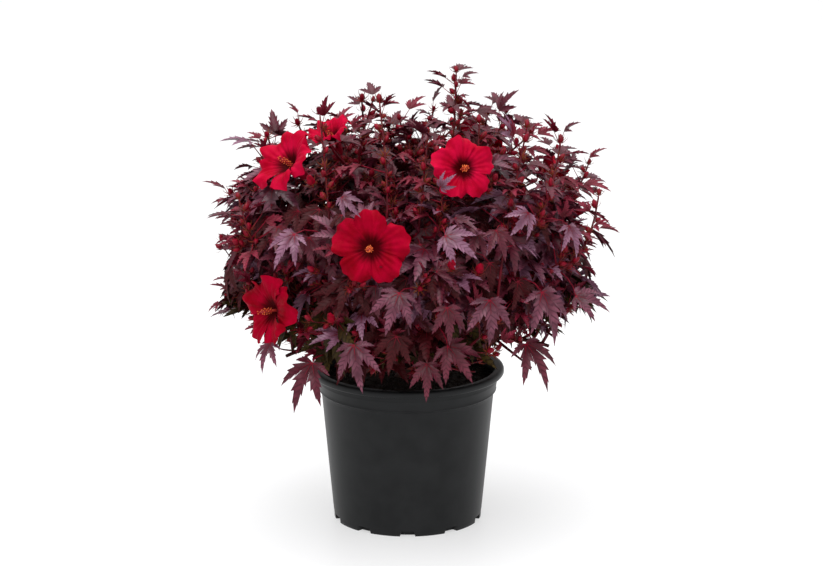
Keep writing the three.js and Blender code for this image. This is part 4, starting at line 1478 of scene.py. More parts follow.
@dataclass
class Sprays:
    """Leaves on their petioles along every shoot, the young ones in clusters at the tips.

    Sizes and heights are in millimetres and angles in degrees. The pairs from young_spread to
    face_up_least and length_by_height give a value low in the crown and one high in it. Lengths and
    droops run from the youngest leaves, at the tip of their shoot, to the oldest. Other pairs are
    the two ends of a range that chance picks from.
    """

    crown: Crown
    shoots: Shoots
    blossoms: Blossoms
    spacing: float = 13.5
    high_spacing: float = 2.1
    first_place: float = 0.3
    first_on_twig: float = 0.12
    last_place: float = 0.96
    young_spread: Pair = (22, 46)
    young_hang: Pair = (-0.35, -0.6)
    old_hang: Pair = (1.25, 0.7)
    petiole_rise: Pair = (1, 0.3)
    tip_outward: Pair = (0.6, 0.3)
    tip_weight: Pair = (1, 0.6)
    face_outward: Pair = (0.8, 0.1)
    face_up_least: Pair = (0.4, 1.0)
    face_up_most: float = 1.6
    face_roll: float = 1.2
    old_spread: float = 74.0
    spread_swing: float = 16.0
    hang_range: Pair = (0.5, 1.3)
    petiole_share: Pair = (0.45, 0.85)
    lengths: Pair = (30, 66)
    length_range: Pair = (0.72, 1.18)
    length_by_height: Pair = (1.12, 0.84)
    droops: Pair = (0.05, 0.5)
    sparse_from: float = 450.0
    sparse_rise: float = 60.0
    sparse_share: float = 0.8
    young_each: int = 2
    young_each_high: int = 3
    young_high: float = 430.0
    young_step: float = 0.024
    young_length: float = 26.0
    young_range: Pair = (0.7, 1.3)
    young_age: float = 0.6
    young_droop: float = 0.25
    leading_each: int = 9
    leading_step: float = 11.0
    leading_length: float = 40.0
    leading_fall: float = 1.3
    probes: tuple[Pair, ...] = ((0, 1.0), (0, 0.55), (55, 0.84), (-55, 0.84), (0, 0.0))
    lump_limits: Pair = (0.9, 1.02)
    free_limit: float = 1.08
    core_count: int = 900
    core_lowest: float = -36.0
    core_reach: Pair = (0.4, 0.86)
    core_drop: Pair = (-75, -15)
    core_top: float = 485.0
    core_droop: float = 0.4
    core_lengths: Pair = (40, 62)
    shown_droop: float = 0.5
    shown_room: float = 34.0
    pot_room: float = 139.0
    pot_top: float = 221.0
    low_tones: float = 350.0
    top_tones: float = 470.0

    @staticmethod
    def high(heights: Array) -> Array:
        """Gives 0 low in the crown and 1 at its top, with a straight line between."""
        return np.clip((heights - HIGH_FROM) / (HIGH_TO - HIGH_FROM), 0, 1)

    def grown_sites(self) -> tuple[Array, Array, Array]:
        """Gives the shoot, the number on it and the place on it of every grown leaf."""
        twig = np.arange(len(self.shoots.start)) < self.shoots.twig_total
        first = np.where(twig, self.first_on_twig, self.first_place)
        spacing = self.spacing * lerp(1, self.high_spacing, self.high(self.shoots.end[:, 2]))
        count = np.maximum(np.round(self.shoots.lengths() * (1 - first) / spacing), 3).astype(int)
        shoot, number = numbered(count)
        share = lerp(first[shoot], self.last_place, (number + 0.5) / count[shoot])
        return shoot, number, share

    def young_sites(self) -> tuple[Array, Array, Array]:
        """Gives the shoot, the number on it and the place on it of every young leaf."""
        common = np.where(self.shoots.end[:, 2] > self.young_high, self.young_each_high, self.young_each)
        count = np.where(self.shoots.leading, self.leading_each, common)
        shoot, number = numbered(count)
        leading_step = self.leading_step / self.shoots.lengths()[shoot]
        step = np.where(self.shoots.leading[shoot], leading_step, self.young_step)
        return shoot, number, 1 - step * (count[shoot] - number - 1)

    def borne(self, base: Array, tip: Array) -> Frames:
        """Works out the frames of leaves that are given by base and tip.

        Each is borne by the place on a shoot that lies nearest to its base among those further in,
        and turns its face outward and up.

        Args:
            base: where each blade meets its petiole, shape (n, 3).
            tip: where its middle lobe ends, shape (n, 3).

        Returns:
            Arrays of the root, petiole, base, along, across, face and length of each leaf.
        """
        shoots = self.shoots
        places = bezier(shoots.start, shoots.bend, shoots.end, np.linspace(0.2, 0.9, 6)).reshape(-1, 3)
        depth = self.crown.share(base)[:, None] - self.crown.share(places)[None]
        gap = np.linalg.norm(base[:, None] - places[None], axis=-1) + 400 * np.maximum(0.08 - depth, 0)
        root = places[np.argmin(gap, axis=1)]
        reach = np.linalg.norm(base - root, axis=-1, keepdims=True)
        along = unit(tip - base)
        face = square_to(outward(base) * 0.9 + UP * 0.6, along)
        return {"root": root, "petiole": unit(base - root + UP * reach * 0.4), "base": base, "along": along,
                "across": np.cross(face, along), "face": face, "length": np.linalg.norm(tip - base, axis=-1)}

    def shown_frames(self) -> Frames:
        """Works out the frames of the leaves whose places are read from the photograph.

        Each starts out tilted up by as much as it droops, so that its tip comes to its place.
        """
        ends = np.array([[each.base, each.tip] for each in LEAF_PLACES], float)
        frames = self.borne(ends[:, 0], ends[:, 1])
        tilt = math.hypot(1, self.shown_droop)
        along, face = frames["along"], frames["face"]
        frames["along"] = (along + self.shown_droop * face) / tilt
        frames["face"] = (face - self.shown_droop * along) / tilt
        frames["length"] = frames["length"] / tilt
        return frames

    def core_frames(self) -> Frames:
        """Works out the frames of old leaves that fill the crown behind the outer ones."""
        index = np.arange(self.core_count)
        base = self.crown.spread(self.core_count, self.core_lowest, *self.core_reach, Draw.CORE_REACH)
        swing = 90 * (chance(index, Draw.CORE_TURN) - 0.5)
        turn = np.degrees(np.arctan2(base[:, 1], base[:, 0])) + swing
        drop = heading(turn, lerp(*self.core_drop, chance(index, Draw.CORE_DROP)))
        length = lerp(*self.core_lengths, chance(index, Draw.CORE_LENGTH))
        frames = self.borne(base, base + drop * length[:, None])
        kept = self.keeps_clear(frames) & (base[:, 2] < self.core_top)
        return picked(frames, kept)

    def frames(
        self, shoot: Array, number: Array, share: Array, age: Array, length: Array
    ) -> Frames:
        """Works out where each leaf sits and how it lies.

        Leaves stand round the shoot by the golden angle. The petioles of old leaves stand far out
        from the shoot, those of young ones nearer to it. Old blades turn their tips outward and down
        and their faces outward and up, young ones stand on along the shoot.

        Args:
            shoot, number, share: the leaf's shoot, its number on it and its place on it.
            age: 0 for the youngest and 1 for the oldest.
            length: the length of the middle lobe.

        Returns:
            Arrays of the root, petiole, base, along, across, face and length of each leaf.
        """
        root, tangent = self.shoots.at(shoot, share)
        age = age[:, None]
        high = np.maximum(self.high(root[:, 2:]), self.shoots.leading[shoot][:, None])
        draws = (Draw.PETIOLE_SPREAD, Draw.BLADE_HANG, Draw.BLADE_LEAN, Draw.BLADE_ROLL, Draw.PETIOLE_LENGTH)
        spread_luck, hang_luck, lean_luck, roll_luck, petiole_luck = (
            chance(shoot, number, key)[:, None] for key in draws)
        turn = (number * GOLDEN_ANGLE)[:, None] + 2 * np.pi * chance(shoot, Draw.SPRAY_TURN)[:, None]
        spoke = self.shoots.spokes(root, tangent, turn)
        spread = lerp(lerp(*self.young_spread, high), self.old_spread, age)
        spread = np.radians(spread + self.spread_swing * (spread_luck - 0.5))
        petiole = unit(np.cos(spread) * tangent + np.sin(spread) * spoke)
        out = outward(root)
        hang = lerp(lerp(*self.young_hang, high), lerp(*self.old_hang, high), age)
        hang = hang * lerp(*self.hang_range, hang_luck)
        even = np.ones_like(high)
        level = petiole * np.concatenate([even, even, lerp(*self.petiole_rise, high)], axis=1)
        weight = lerp(*self.tip_weight, high)
        along = unit(level + out * lerp(*self.tip_outward, high) - UP * hang * weight)
        rise = lerp(lerp(*self.face_up_least, high), self.face_up_most, lean_luck)
        roll = self.face_roll * (roll_luck - 0.5)
        lean = out * lerp(*self.face_outward, high) + UP * rise + roll * np.cross(UP, out)
        face = square_to(lean, along)
        base = root + petiole * (length * lerp(*self.petiole_share, petiole_luck[:, 0]))[:, None]
        return {"root": root, "petiole": petiole, "base": base, "along": along,
                "across": np.cross(face, along), "face": face, "length": length}

    def keeps_clear(self, frames: Frames, free: Array | bool = False) -> Array:
        """Tells which leaves stay within the crown, off the pot and out of the blossoms' rooms.

        The probes are the points of each leaf that are tried, by angle and reach: some along the
        middle lobe and one at the end of a lobe to each side.

        Args:
            frames: the leaves' frames.
            free: which leaves may reach the crown's own outline, where others keep to its lumps.

        Returns:
            Whether each leaf is kept.
        """
        fits = np.ones(len(frames["length"]), bool)
        shown = np.array([lerp(np.array(each.base), np.array(each.tip), 0.45) for each in LEAF_PLACES])
        ahead = outward(shown)
        for angle, reach in self.probes:
            swing = math.radians(angle)
            step = math.cos(swing) * frames["along"] + math.sin(swing) * frames["across"]
            point = frames["base"] + step * (reach * frames["length"])[:, None]
            level = np.hypot(point[:, 0], point[:, 1])
            in_pot = (level < self.pot_room) & (point[:, 2] < self.pot_top)
            limit = np.where(free, self.free_limit, lerp(*self.lump_limits, self.crown.lump(point)))
            fits &= (self.crown.share(point) < limit) & ~in_pot & ~self.blossoms.in_front(point)
            fits &= point[:, 2] > self.skirt(point)
            gap = point[:, None] - shown[None]
            near = np.linalg.norm(gap, axis=-1) < self.shown_room
            hides = near & (np.sum(gap * ahead[None], axis=-1) > -8)
            fits &= ~np.any(hides, axis=1)
        return fits

    @staticmethod
    def skirt(points: Array) -> Array:
        """Gives how low leaves may hang: to just above the rim, and less far down further out."""
        aside = np.abs(points[:, 0] - SKIRT_MIDDLE) - SKIRT_HALF
        low = lerp(*SKIRT_HEIGHTS, np.clip(aside / SKIRT_SLOPE, 0, 1))
        return low + SKIRT_RISE * np.maximum(np.abs(points[:, 1]) - SKIRT_DEPTH, 0)

    @staticmethod
    def blades(form: LeafForm, frames: Frames, droop: Array, key: int) -> Surface:
        """Copies a leaf's template to every frame, each with its own droop, width and curl.

        Args:
            form: the leaf's outline.
            frames: the leaves' frames.
            droop: how far each leaf's points fall.
            key: the random draw for the widths, with the one after it for the curls.

        Returns:
            The leaves, with their charts.
        """
        points, quads, triangles, chart = form.template()
        index = np.arange(len(frames["length"]))
        wide = lerp(0.88, 1.12, chance(index, key))[:, None]
        twist = (0.3 * (chance(index, key + 1) - 0.5))[:, None]
        surface = repeated(Sprays.hung(points, frames, droop, wide, twist), quads, triangles)
        surface.chart = np.tile(chart, (len(index), 1))
        return surface

    @staticmethod
    def hung(
        points: Array, frames: Frames, droop: Array, wide: Array | float, twist: Array | float
    ) -> Array:
        """Puts a template's points into every frame.

        The height of a point falls by the droop times the square of its distance from the base, and
        turns up or down to either side by the twist.

        Returns:
            The points of the shrub, shape (leaves, n, 3).
        """
        x, y, z = points[None, :, 0], points[None, :, 1] * wide, points[None, :, 2]
        z = z - droop[:, None] * (x * x + y * y) + twist * x * y
        local = np.stack([x + 0 * z, y + 0 * z, z], axis=-1) * frames["length"][:, None, None]
        return (frames["base"][:, None] + local[..., :1] * frames["along"][:, None]
                + local[..., 1:2] * frames["across"][:, None] + local[..., 2:] * frames["face"][:, None])

    @staticmethod
    def vein_surface(form: LeafForm, frames: Frames, droop: Array) -> Surface:
        """Copies the raised midribs to every frame, drooped as their blades are."""
        points, quads = form.veins()
        return repeated(Sprays.hung(points, frames, droop, 1.0, 0.0), quads)

    @staticmethod
    def petiole_surface(frames: Frames) -> Surface:
        """Sweeps each petiole from its shoot to its blade, where it turns into the midrib."""
        reach = np.linalg.norm(frames["base"] - frames["root"], axis=-1, keepdims=True)
        bend = frames["root"] + frames["petiole"] * reach * 0.75
        paths = bezier(frames["root"], bend, frames["base"], np.linspace(0, 1, 4))
        thick = np.clip(frames["length"] * 0.016, 0.35, 1.0)[:, None]
        return tubes(paths, thick * np.array([[1.3, 1.0, 0.9, 0.8]]), 4)

    def tones(self, frames: Frames, shoot: Array) -> Array:
        """Deals out the leaves' tones by shoot and by place.

        Leaves deep inside and low down are olive for many shoots, darkened as painted shade, and many others
        deep inside or low down take the dark tone that paints shade there. Mauve, which paints a glossy
        sheen, goes to some shoots, more of them high up, where fewer are wine, so that the top of the crown
        is painted lighter; the rest take the tone of their shoot.

        Args:
            frames: the leaves' frames.
            shoot: the shoot of each leaf.

        Returns:
            For each leaf the position of its tone in the list of tones.
        """
        luck = chance(shoot, Draw.SPRAY_TONE)
        depth = self.crown.share(frames["base"])
        height = frames["base"][:, 2]
        top = height > self.top_tones
        rules = (
            (Tone.OLIVE_IN_PAINTED_SHADE, (depth < 0.78) & (height < self.low_tones) & (luck > 0.35)),
            (Tone.PAINTED_SHADE, (depth < 0.66) | (height < self.low_tones - 10) & (luck < 0.5)),
            (Tone.PAINTED_MAUVE_SHEEN, luck > np.where(top, 0.72, 0.78)),
            (Tone.WINE, luck < np.where(top, 0.3, 0.42)),
        )
        places = [tone.position for tone, _ in rules]
        return np.select([rule for _, rule in rules], places, Tone.PLUM.position)

    def grown_leaves(self) -> tuple[Frames, Array, Array]:
        """Works out the frames, tones and droops of the leaves that shoots bear by rule."""
        shoot, number, share = self.grown_sites()
        age = np.sqrt(np.clip((1 - share) / (1 - self.first_place), 0, 1))
        luck = chance(shoot, number, Draw.GROWN_LENGTH)
        length = lerp(*self.lengths, age) * lerp(*self.length_range, luck)
        length = length * lerp(*self.length_by_height, self.high(self.shoots.end[shoot, 2]))
        frames = self.frames(shoot, number, share, age, length)
        kept = self.keeps_clear(frames, self.shoots.leading[shoot])
        sparse = np.clip((frames["root"][:, 2] - self.sparse_from) / self.sparse_rise, 0, 1)
        kept &= chance(shoot, number, Draw.GROWN_KEPT) > self.sparse_share * sparse
        frames = picked(frames, kept)
        droop = lerp(*self.droops, (age * lerp(0.4, 1.0, luck))[kept])
        return frames, self.tones(frames, shoot[kept]), droop

    def core_leaves(self) -> tuple[Frames, Array, Array]:
        """Works out the frames, tones and droops of the leaves that fill the crown."""
        frames = self.core_frames()
        index = np.arange(len(frames["length"]))
        height = frames["base"][:, 2]
        # Low core leaves take the olive hue in painted shade, some high ones wine, and the rest the dark tone
        # that paints the shade inside the crown
        green = (height < self.low_tones) & (chance(index, Draw.CORE_GREEN) < 0.5)
        red = (height > self.low_tones + 50) & (chance(index, Draw.CORE_RED) < 0.4)
        tone = np.select([green, red], [Tone.OLIVE_IN_PAINTED_SHADE.position, Tone.WINE.position], Tone.PAINTED_SHADE.position)
        return frames, tone, np.full(len(index), self.core_droop)

    def shown_leaves(self) -> tuple[Frames, Array, Array]:
        """Works out the frames, tones and droops of the leaves read from the photograph."""
        tone = np.array([each.tone.position for each in LEAF_PLACES])
        return self.shown_frames(), tone, np.full(len(tone), self.shown_droop)

    def build(self, nodes: list[str]) -> None:
        """Makes and dresses every piece of the sprays.

        Args:
            nodes: the foliage nodes that the pieces stand for.
        """
        groups = (self.grown_leaves(), self.core_leaves(), self.shown_leaves())
        frames = {key: np.concatenate([found[key] for found, _, _ in groups]) for key in groups[0][0]}
        tone = np.concatenate([found for _, found, _ in groups])
        droop = np.concatenate([found for _, _, found in groups])
        for choice in Tone:
            mine = tone == choice.position
            if not np.any(mine):
                continue
            part = picked(frames, mine)
            surface = self.blades(GROWN_LEAF, part, droop[mine], Draw.GROWN_SHAPE)
            dress(surface, choice.value.name, choice.value, nodes)
        veins = self.vein_surface(GROWN_LEAF, frames, droop)
        dress(veins, "leaf_veins", PETIOLE_SKIN, nodes)
        young = self.young_frames()
        darker = (young["root"][:, 2] > self.top_tones) & (young["luck"] < 0.55)
        for name, choice, mine in (
            ("young_leaves", Tone.CRIMSON, ~darker),
            ("tip_leaves", Tone.WINE, darker),
        ):
            part = picked(young, mine)
            bent = np.full(len(part["length"]), self.young_droop)
            surface = self.blades(YOUNG_LEAF, part, bent, Draw.YOUNG_SHAPE)
            dress(surface, name, choice.value, nodes)
        petioles = joined([self.petiole_surface(frames), self.petiole_surface(young)])
        dress(petioles, "petioles", PETIOLE_SKIN, nodes)
        LOG.info("%d grown leaves, %d young ones", len(frames["length"]), len(young["length"]))

    def young_frames(self) -> Frames:
        """Works out the frames of the young leaves that stand round each tip."""
        shoot, number, share = self.young_sites()
        leading = self.shoots.leading[shoot]
        length = np.where(leading, self.leading_length - self.leading_fall * number, self.young_length)
        length = length * lerp(*self.young_range, chance(shoot, number, Draw.YOUNG_LENGTH))
        leading_age = 0.8 - 0.15 * np.maximum(number - 3, 0)
        age = np.where(leading, leading_age, self.young_age * chance(shoot, number, Draw.YOUNG_AGE))
        frames = self.frames(shoot, number, share, age, length)
        frames["luck"] = chance(shoot, number, Draw.YOUNG_TONE)
        kept = self.keeps_clear(frames, leading)
        return picked(frames, kept)


@dataclass
class Buds:
    """Red buds in their thin bracts, near the tips of the shoots.

    Lengths are in millimetres, and the halves of the bracts in shares of the bud's length. The buds
    of upright stems lie the leading step apart, those of other shoots the step, a share of the
    shoot's length.
    """

    crown: Crown
    shoots: Shoots
    blossoms: Blossoms
    each: int = 9
    each_common: int = 5
    step: float = 0.1
    leading_step: float = 14.0
    lengths: Pair = (9, 14)
    common: Pair = (0.4, 0.75)
    first_lean: float = 0.1
    lean: float = 0.9
    rise: float = 0.25
    stalk: float = 4.0
    stalk_end: float = 4.6
    rings: int = 6
    sides: int = 10
    bract_count: int = 8
    bract_rings: int = 4
    bract_halves: Pair = (0.16, 0.015)
    sepal_length: float = 13.0
    furled_length: float = 19.0
    furled: tuple[Triple, ...] = (
        (94, -252, 416), (-100, -254, 348), (-126, -215, 528),
        (58, -262, 424), (-206, 40, 470), (150, 196, 430),
    )

    def frames(self) -> Frames:
        """Works out where each bud sits: one at the tip of the shoot, the others in axils behind it.

        Returns:
            Arrays of the root, axis, side, other and length of each bud.
        """
        total = len(self.shoots.start)
        shoot = np.repeat(np.arange(total), self.each)
        number = np.tile(np.arange(self.each), total)
        leading = self.shoots.leading[shoot]
        step = np.where(leading, self.leading_step / self.shoots.lengths()[shoot], self.step)
        root, tangent = self.shoots.at(shoot, 1.0 - step * number)
        turn = (number * GOLDEN_ANGLE + 2 * np.pi * chance(shoot, Draw.BUD_TURN))[:, None]
        spoke = self.shoots.spokes(root, tangent, turn)
        lean = np.where(number == 0, self.first_lean, self.lean)[:, None]
        axis = unit(tangent + lean * spoke + self.rise * UP)
        length = lerp(*self.lengths, chance(shoot, number, Draw.BUD_LENGTH))
        common = np.maximum(lerp(*self.common, Sprays.high(root[:, 2])), leading)
        kept = chance(shoot, number, Draw.BUD_KEPT) < common
        kept &= ~self.blossoms.in_front(root + axis * 12)
        kept &= (self.crown.share(root + axis * 18) < 1.04) & (root[:, 2] > Sprays.skirt(root))
        kept &= (number < self.each_common) | leading
        return self.framed(root[kept], axis[kept], np.array([0.3, 1.0, 0.1]), length[kept])

    def furled_frames(self) -> Frames:
        """Gives the places of large buds that show their petals, which stand out from the crown."""
        root = np.array(self.furled, float)
        axis = unit(outward(root) + 1.6 * UP)
        return self.framed(root, axis, UP, np.full(len(root), self.furled_length))

    @staticmethod
    def framed(root: Array, axis: Array, towards: Array, length: Array) -> Frames:
        """Gives the buds' frames, whose sides turn towards one direction."""
        side = square_to(np.broadcast_to(towards, axis.shape), axis)
        return {"root": root, "axis": axis, "side": side, "other": np.cross(axis, side), "length": length}

    def turned(self, frames: Frames, level: Array, turn: Array, height: Array) -> Array:
        """Puts points given round the buds' axes into place, each in shares of the bud's length."""
        level, turn, height = np.broadcast_arrays(level, turn, height)
        size = frames["length"][:, None, None]
        axis = frames["axis"][:, None, None]
        spoke = (np.cos(turn)[..., None] * frames["side"][:, None, None]
                 + np.sin(turn)[..., None] * frames["other"][:, None, None])
        foot = frames["root"][:, None, None] + axis * self.stalk
        points = foot + (level * size)[..., None] * spoke + (height * size)[..., None] * axis
        return points.reshape(len(points), -1, 3)

    def bodies(self, frames: Frames) -> Surface:
        """Builds the buds: an egg-shaped profile, sqrt(v)(1-v)^0.7, turned with five soft ribs."""
        v = np.linspace(0, 1, self.rings)[None, :, None]
        turn = around(self.sides)[None, None]
        rib = 1 + 0.12 * np.cos(5 * turn)
        level = 0.02 + 0.62 * np.sqrt(v) * (1 - v) ** 0.7 * rib
        bodies = repeated(self.turned(frames, level, turn, v), grid_quads(self.rings, self.sides, True))
        stalks = np.stack([frames["root"], frames["root"] + frames["axis"] * self.stalk_end], axis=1)
        radii = np.broadcast_to(np.array([1.0, 0.9]), stalks.shape[:2])
        return joined([bodies, tubes(stalks, radii, 5)])

    def bracts(self, frames: Frames) -> Surface:
        """Builds thin bracts round each bud, each a strip that arches out and forward."""
        count = self.bract_count
        v = np.linspace(0, 1, self.bract_rings)[None, :, None]
        strip = np.arange(count * 2)[None, None]
        middle = (strip // 2) * 2 * np.pi / count
        half = lerp(*self.bract_halves, v) * np.where(strip % 2 == 0, -1, 1)
        arch = lerp(0.8, 1.2, chance(strip // 2, Draw.BRACT_ARCH))
        level = 0.12 + 0.75 * np.sin(np.pi * 0.5 * v) * arch
        turn = middle + half / np.maximum(level, 0.12) * 0.55
        height = 0.02 + 0.75 * v**1.6
        row = np.arange(self.bract_rings - 1)[:, None] * count * 2
        start = row + np.arange(count)[None] * 2
        quads = np.stack([start, start + 1, start + count * 2 + 1, start + count * 2], axis=-1)
        return repeated(self.turned(frames, level, turn, height), quads.reshape(-1, 4))

    def build(self, nodes: list[str]) -> None:
        """Makes and dresses every piece of the buds.

        Args:
            nodes: the foliage nodes that the pieces stand for.
        """
        frames, furled = self.frames(), self.furled_frames()
        dress(self.bodies(frames), "buds", BUD_SKIN, nodes)
        dress(self.bodies(furled), "furled_buds", FURLED_SILK, nodes)
        sepals = furled | {"length": np.full(len(furled["length"]), self.sepal_length)}
        bracts = joined([self.bracts(frames), self.bracts(sepals)])
        dress(bracts, "bracts", BRACT_SKIN, nodes)


@dataclass
class Pot:
    """The nursery pot: a tapered wall, a collar, a rolled lip and drain notches at the foot.

    Edges are sharp where the faces turn by more than the crease, in degrees.
    """

    height: float = 218.0
    foot_radius: float = 103.3
    shoulder_radius: float = 121.0
    collar_radius: float = 125.5
    lip_radius: float = 135.0
    collar_foot: float = 186.0
    wall: float = 3.0
    drains: int = 10
    drain_height: float = 7.5
    drain_width: float = 21.0
    drain_edge: float = 0.6
    foot_ring: float = 94.5
    crease: float = 50.0
    sides: int = 360

    def profile(self) -> Array:
        """Gives the closed profile of radius and height, from the middle of the underside outward."""
        foot, shoulder = self.foot_radius, self.shoulder_radius
        collar, lip = self.collar_radius, self.lip_radius
        top, wall, step = self.height, self.wall, self.collar_foot
        return np.array([
            [0.2, 0], [60, 0], [94, 0], [95, 0], [foot - 3, 0], [foot - 0.6, 0], [foot, 0.6], [foot + 0.2, 5],
            [foot + 0.5, 8.6], [foot + 1.2, 13], [lerp(foot, shoulder, 0.5), 92], [shoulder - 0.6, step - 7],
            [shoulder, step - 2.4], [shoulder + 0.4, step - 1.8], [collar - 2.4, step - 0.4],
            [collar - 1.8, step], [collar - 1.2, step + 0.4], [collar - 1.0, step + 1.0],
            [collar - 1.2, step + 1.6], [collar - 1.4, step + 2.0], [collar - 1.0, step + 6],
            [collar + 0.3, top - 18.2], [collar + 0.6, top - 17.4], [collar + 0.4, top - 16.6],
            [collar + 0.7, top - 14], [collar + 1.2, top - 10.4], [lip - 3.4, top - 9.6],
            [lip - 1.2, top - 8.8], [lip, top - 7], [lip, top - 3], [lip - 0.8, top - 1], [lip - 2.4, top],
            [collar + 3, top], [collar - wall + 0.6, top - 0.3], [collar - wall, top - 2],
            [collar - wall, step + wall], [shoulder - wall, step], [foot - wall, 13], [0.2, 13],
        ])

    def surface(self) -> Surface:
        """Turns the profile about the axis and lifts the foot at each drain notch.

        The lift is the notch's height times a steep step of the distance from the notch's middle,
        for points of the rim of the foot that lie lower.
        """
        profile = self.profile()
        turn = around(self.sides)[None]
        radius, height = profile[:, :1] + 0 * turn, profile[:, 1:] + 0 * turn
        pitch = 2 * np.pi / self.drains
        off = np.abs((turn % pitch) - pitch / 2) * self.foot_radius
        open_share = np.clip((self.drain_width / 2 + self.drain_edge / 2 - off) / self.drain_edge, 0, 1)
        at_foot = (radius > self.foot_ring) & (height < self.drain_height)
        height = np.where(at_foot, np.maximum(height, self.drain_height * open_share), height)
        points = np.stack([radius * np.cos(turn), radius * np.sin(turn), height], axis=-1)
        return Surface(points.reshape(-1, 3), grid_quads(len(profile), self.sides, True))


@dataclass
class Soil:
    """The potting mix: a rough top with crumbs and bark chips."""

    radius: float = 122.2
    top: float = 204.0
    dip: float = 3.0
    floor: float = 60.0
    rings: int = 40
    sides: int = 120
    waves: int = 8
    wave_height: float = 0.7
    wave_pitch: float = 0.11
    wave_turn: float = 2.4
    crumbs: int = 1500
    crumb_sizes: Pair = (0.8, 2.6)
    crumb_stretch: Pair = (0.6, 1.7)

    def heights(self, x: Array, y: Array) -> Array:
        """Gives the surface's height: a dip towards the wall plus a sum of crossed waves."""
        level = np.hypot(x, y)
        height = self.top - self.dip * np.clip((level - 30) / (self.radius - 30), 0, 1)
        for wave in range(self.waves):
            pitch = self.wave_pitch + 0.07 * wave
            angle = self.wave_turn * wave
            phase = 6.28 * float(chance(wave, Draw.SOIL_PHASE))
            along = x * math.cos(angle) + y * math.sin(angle)
            height = height + self.wave_height / (1 + 0.4 * wave) * np.sin(pitch * along + phase)
        return height

    def surface(self) -> Surface:
        """Builds the rough top as rings of points, with a skirt down the pot's wall."""
        level = np.linspace(0.3, self.radius, self.rings)[:, None]
        turn = around(self.sides)[None]
        x, y = level * np.cos(turn), level * np.sin(turn)
        top = np.stack([x, y, self.heights(x, y)], axis=-1)
        skirt = top[-1:] * np.array([0.86, 0.86, 0.0]) + np.array([0.0, 0.0, self.floor])
        under = skirt * np.array([0.01, 0.01, 1.0])
        points = np.concatenate([top, skirt, under])[::-1]
        return Surface(points.reshape(-1, 3), grid_quads(self.rings + 2, self.sides, True))

    def crumb_surface(self) -> Surface:
        """Scatters small lumps and chips: unit octahedra stretched by chance along each axis."""
        index = np.arange(self.crumbs)
        level = self.radius * 0.965 * np.sqrt(chance(index, Draw.CRUMB_LEVEL))
        turn = 2 * np.pi * chance(index, Draw.CRUMB_TURN)
        x, y = level * np.cos(turn), level * np.sin(turn)
        centre = np.stack([x, y, self.heights(x, y) + 0.4], axis=-1)
        stretch = np.stack([chance(index, Draw.CRUMB_STRETCH + axis) for axis in range(3)], axis=-1)
        size = lerp(*self.crumb_sizes, chance(index, Draw.CRUMB_SIZE)[:, None] ** 2)
        size = size * np.array([[1.0, 1.0, 0.6]]) * lerp(*self.crumb_stretch, stretch)
        spin = 2 * np.pi * chance(index, Draw.CRUMB_SPIN)[:, None]
        local = GRAIN_CORNERS[None] * size[:, None]
        turned = np.stack([
            local[..., 0] * np.cos(spin) - local[..., 1] * np.sin(spin),
            local[..., 0] * np.sin(spin) + local[..., 1] * np.cos(spin),
            local[..., 2],
        ], axis=-1)
        return repeated(centre[:, None] + turned, NO_QUADS, GRAIN_FACES)


@dataclass(frozen=True)
class Lamp:
    """A square soft light: its place and side in metres, its turn in degrees, its power in watts."""

    name: str
    place: Triple
    turn: Triple
    size: float
    power: float

    def light(self) -> None:
        """Adds the light to the scene."""
        data = bpy.data.lights.new(self.name, "AREA")
        data.size = self.size
        data.energy = self.power
        light = bpy.data.objects.new(self.name, data)
        light.location = self.place
        light.rotation_euler = Euler([math.radians(each) for each in self.turn])
        bpy.context.scene.collection.objects.link(light)


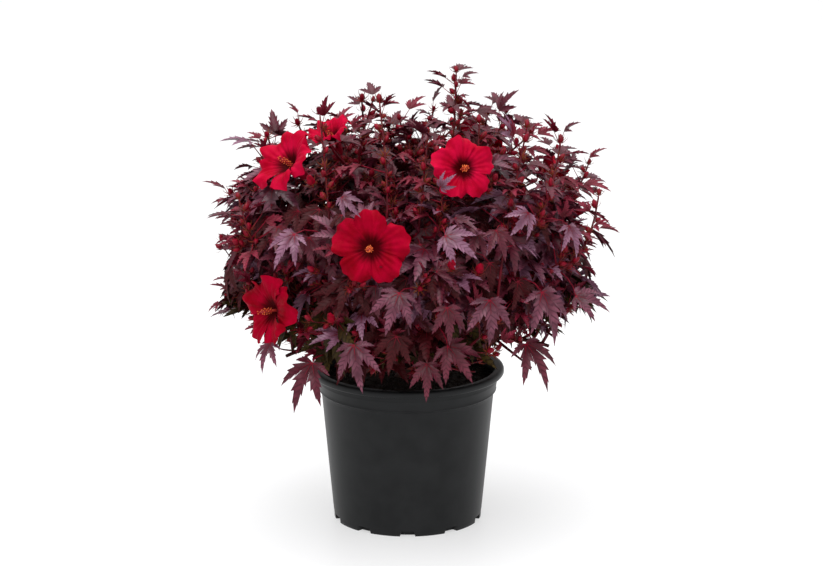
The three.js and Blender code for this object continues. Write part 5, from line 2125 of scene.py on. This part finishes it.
@dataclass
class Studio:
    """A plain pale floor before a pale sky, with soft lights and the photograph's camera."""

    camera_place: Triple = (0.0054, -6.0, 1.9425)
    pitch: float = 14.972
    lens: float = 194.83
    sensor: float = 36.0
    view_end: float = 60.0
    floor_size: float = 12.0
    floor_glow: float = 0.52
    sky_strength: float = 0.88
    lamps: tuple[Lamp, ...] = (
        Lamp("key", (-0.8, -2.5, 3.7), (36, 0, -17), 2.6, 88),
        Lamp("fill", (1.6, -3.6, 1.2), (72, 0, 24), 2.4, 15),
        Lamp("top", (0.0, 0.3, 3.2), (-5, 0, 0), 2.8, 84),
    )

    def build(self) -> None:
        """Makes the floor, the lights, the sky and the camera."""
        self._camera()
        self._floor()
        for lamp in self.lamps:
            lamp.light()
        world = bpy.data.worlds.new("studio_sky")
        bpy.context.scene.world = world
        world.use_nodes = True
        background = world.node_tree.nodes["Background"]
        background.inputs["Color"].default_value = WHITE
        background.inputs["Strength"].default_value = self.sky_strength
        bpy.context.scene.view_settings.view_transform = "Standard"

    def _camera(self) -> None:
        """Makes the camera at the photograph's place and angle."""
        data = bpy.data.cameras.new("camera")
        data.lens = self.lens
        data.sensor_width = self.sensor
        data.sensor_fit = "HORIZONTAL"
        data.clip_end = self.view_end
        camera = bpy.data.objects.new("camera", data)
        camera.location = self.camera_place
        camera.rotation_euler = Euler((math.radians(90 - self.pitch), 0, 0))
        bpy.context.scene.collection.objects.link(camera)
        bpy.context.scene.camera = camera

    def _floor(self) -> None:
        """Makes the pale floor, a table that glows a little so that shadows on it stay faint."""
        half = self.floor_size / METRE
        corners = np.array([[-half, -half, 0], [half, -half, 0], [half, half, 0], [-half, half, 0]])
        floor = Surface(corners, np.array([[0, 1, 2, 3]])).mesh_object("studio_floor", smooth=False)
        material = LIGHT_TABLE.material()
        shader = material.node_tree.nodes["Principled BSDF"]
        shader.inputs["Emission Color"].default_value = WHITE
        shader.inputs["Emission Strength"].default_value = self.floor_glow
        floor.data.materials.append(material)


def build_shrub(nodes: list[str]) -> None:
    """Builds every sub-assembly of the shrub in order.

    Args:
        nodes: the names of the part's CAD nodes.
    """
    foliage = [name for name in nodes if name.startswith("foliage")]
    bough_nodes = [name for name in nodes if name.startswith("bough")]
    crown = Crown()
    limbs = Limbs(crown)
    masses = limbs.masses()
    pot = Pot()
    shell = dress(pot.surface(), "pot_shell", POT_PLASTIC, ["pot"])
    shell.data.set_sharp_from_angle(angle=math.radians(pot.crease))
    soil = Soil()
    dress(joined([soil.surface(), soil.crumb_surface()]), "soil_top", POTTING_MIX, ["soil"])
    dress(limbs.main_stem(), "stem_bark", STEM_BARK, ["main_stem"])
    dress(limbs.boughs(masses), "bough_bark", BOUGH_BARK, bough_nodes)
    shoots = Shoots(crown, masses)
    dress(shoots.surface(), "twigs", TWIG_SKIN, foliage)
    blossoms = Blossoms(shoots)
    for part in (blossoms, Sprays(crown, shoots, blossoms), Buds(crown, shoots, blossoms)):
        part.build(foliage)


def main() -> None:
    """Loads the frame and builds the shrub and its studio."""
    logging.basicConfig(level=logging.INFO, format="%(message)s")
    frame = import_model()
    Studio().build()
    build_shrub(sorted(frame["nodes"]))


if __name__ == "__main__":
    main()
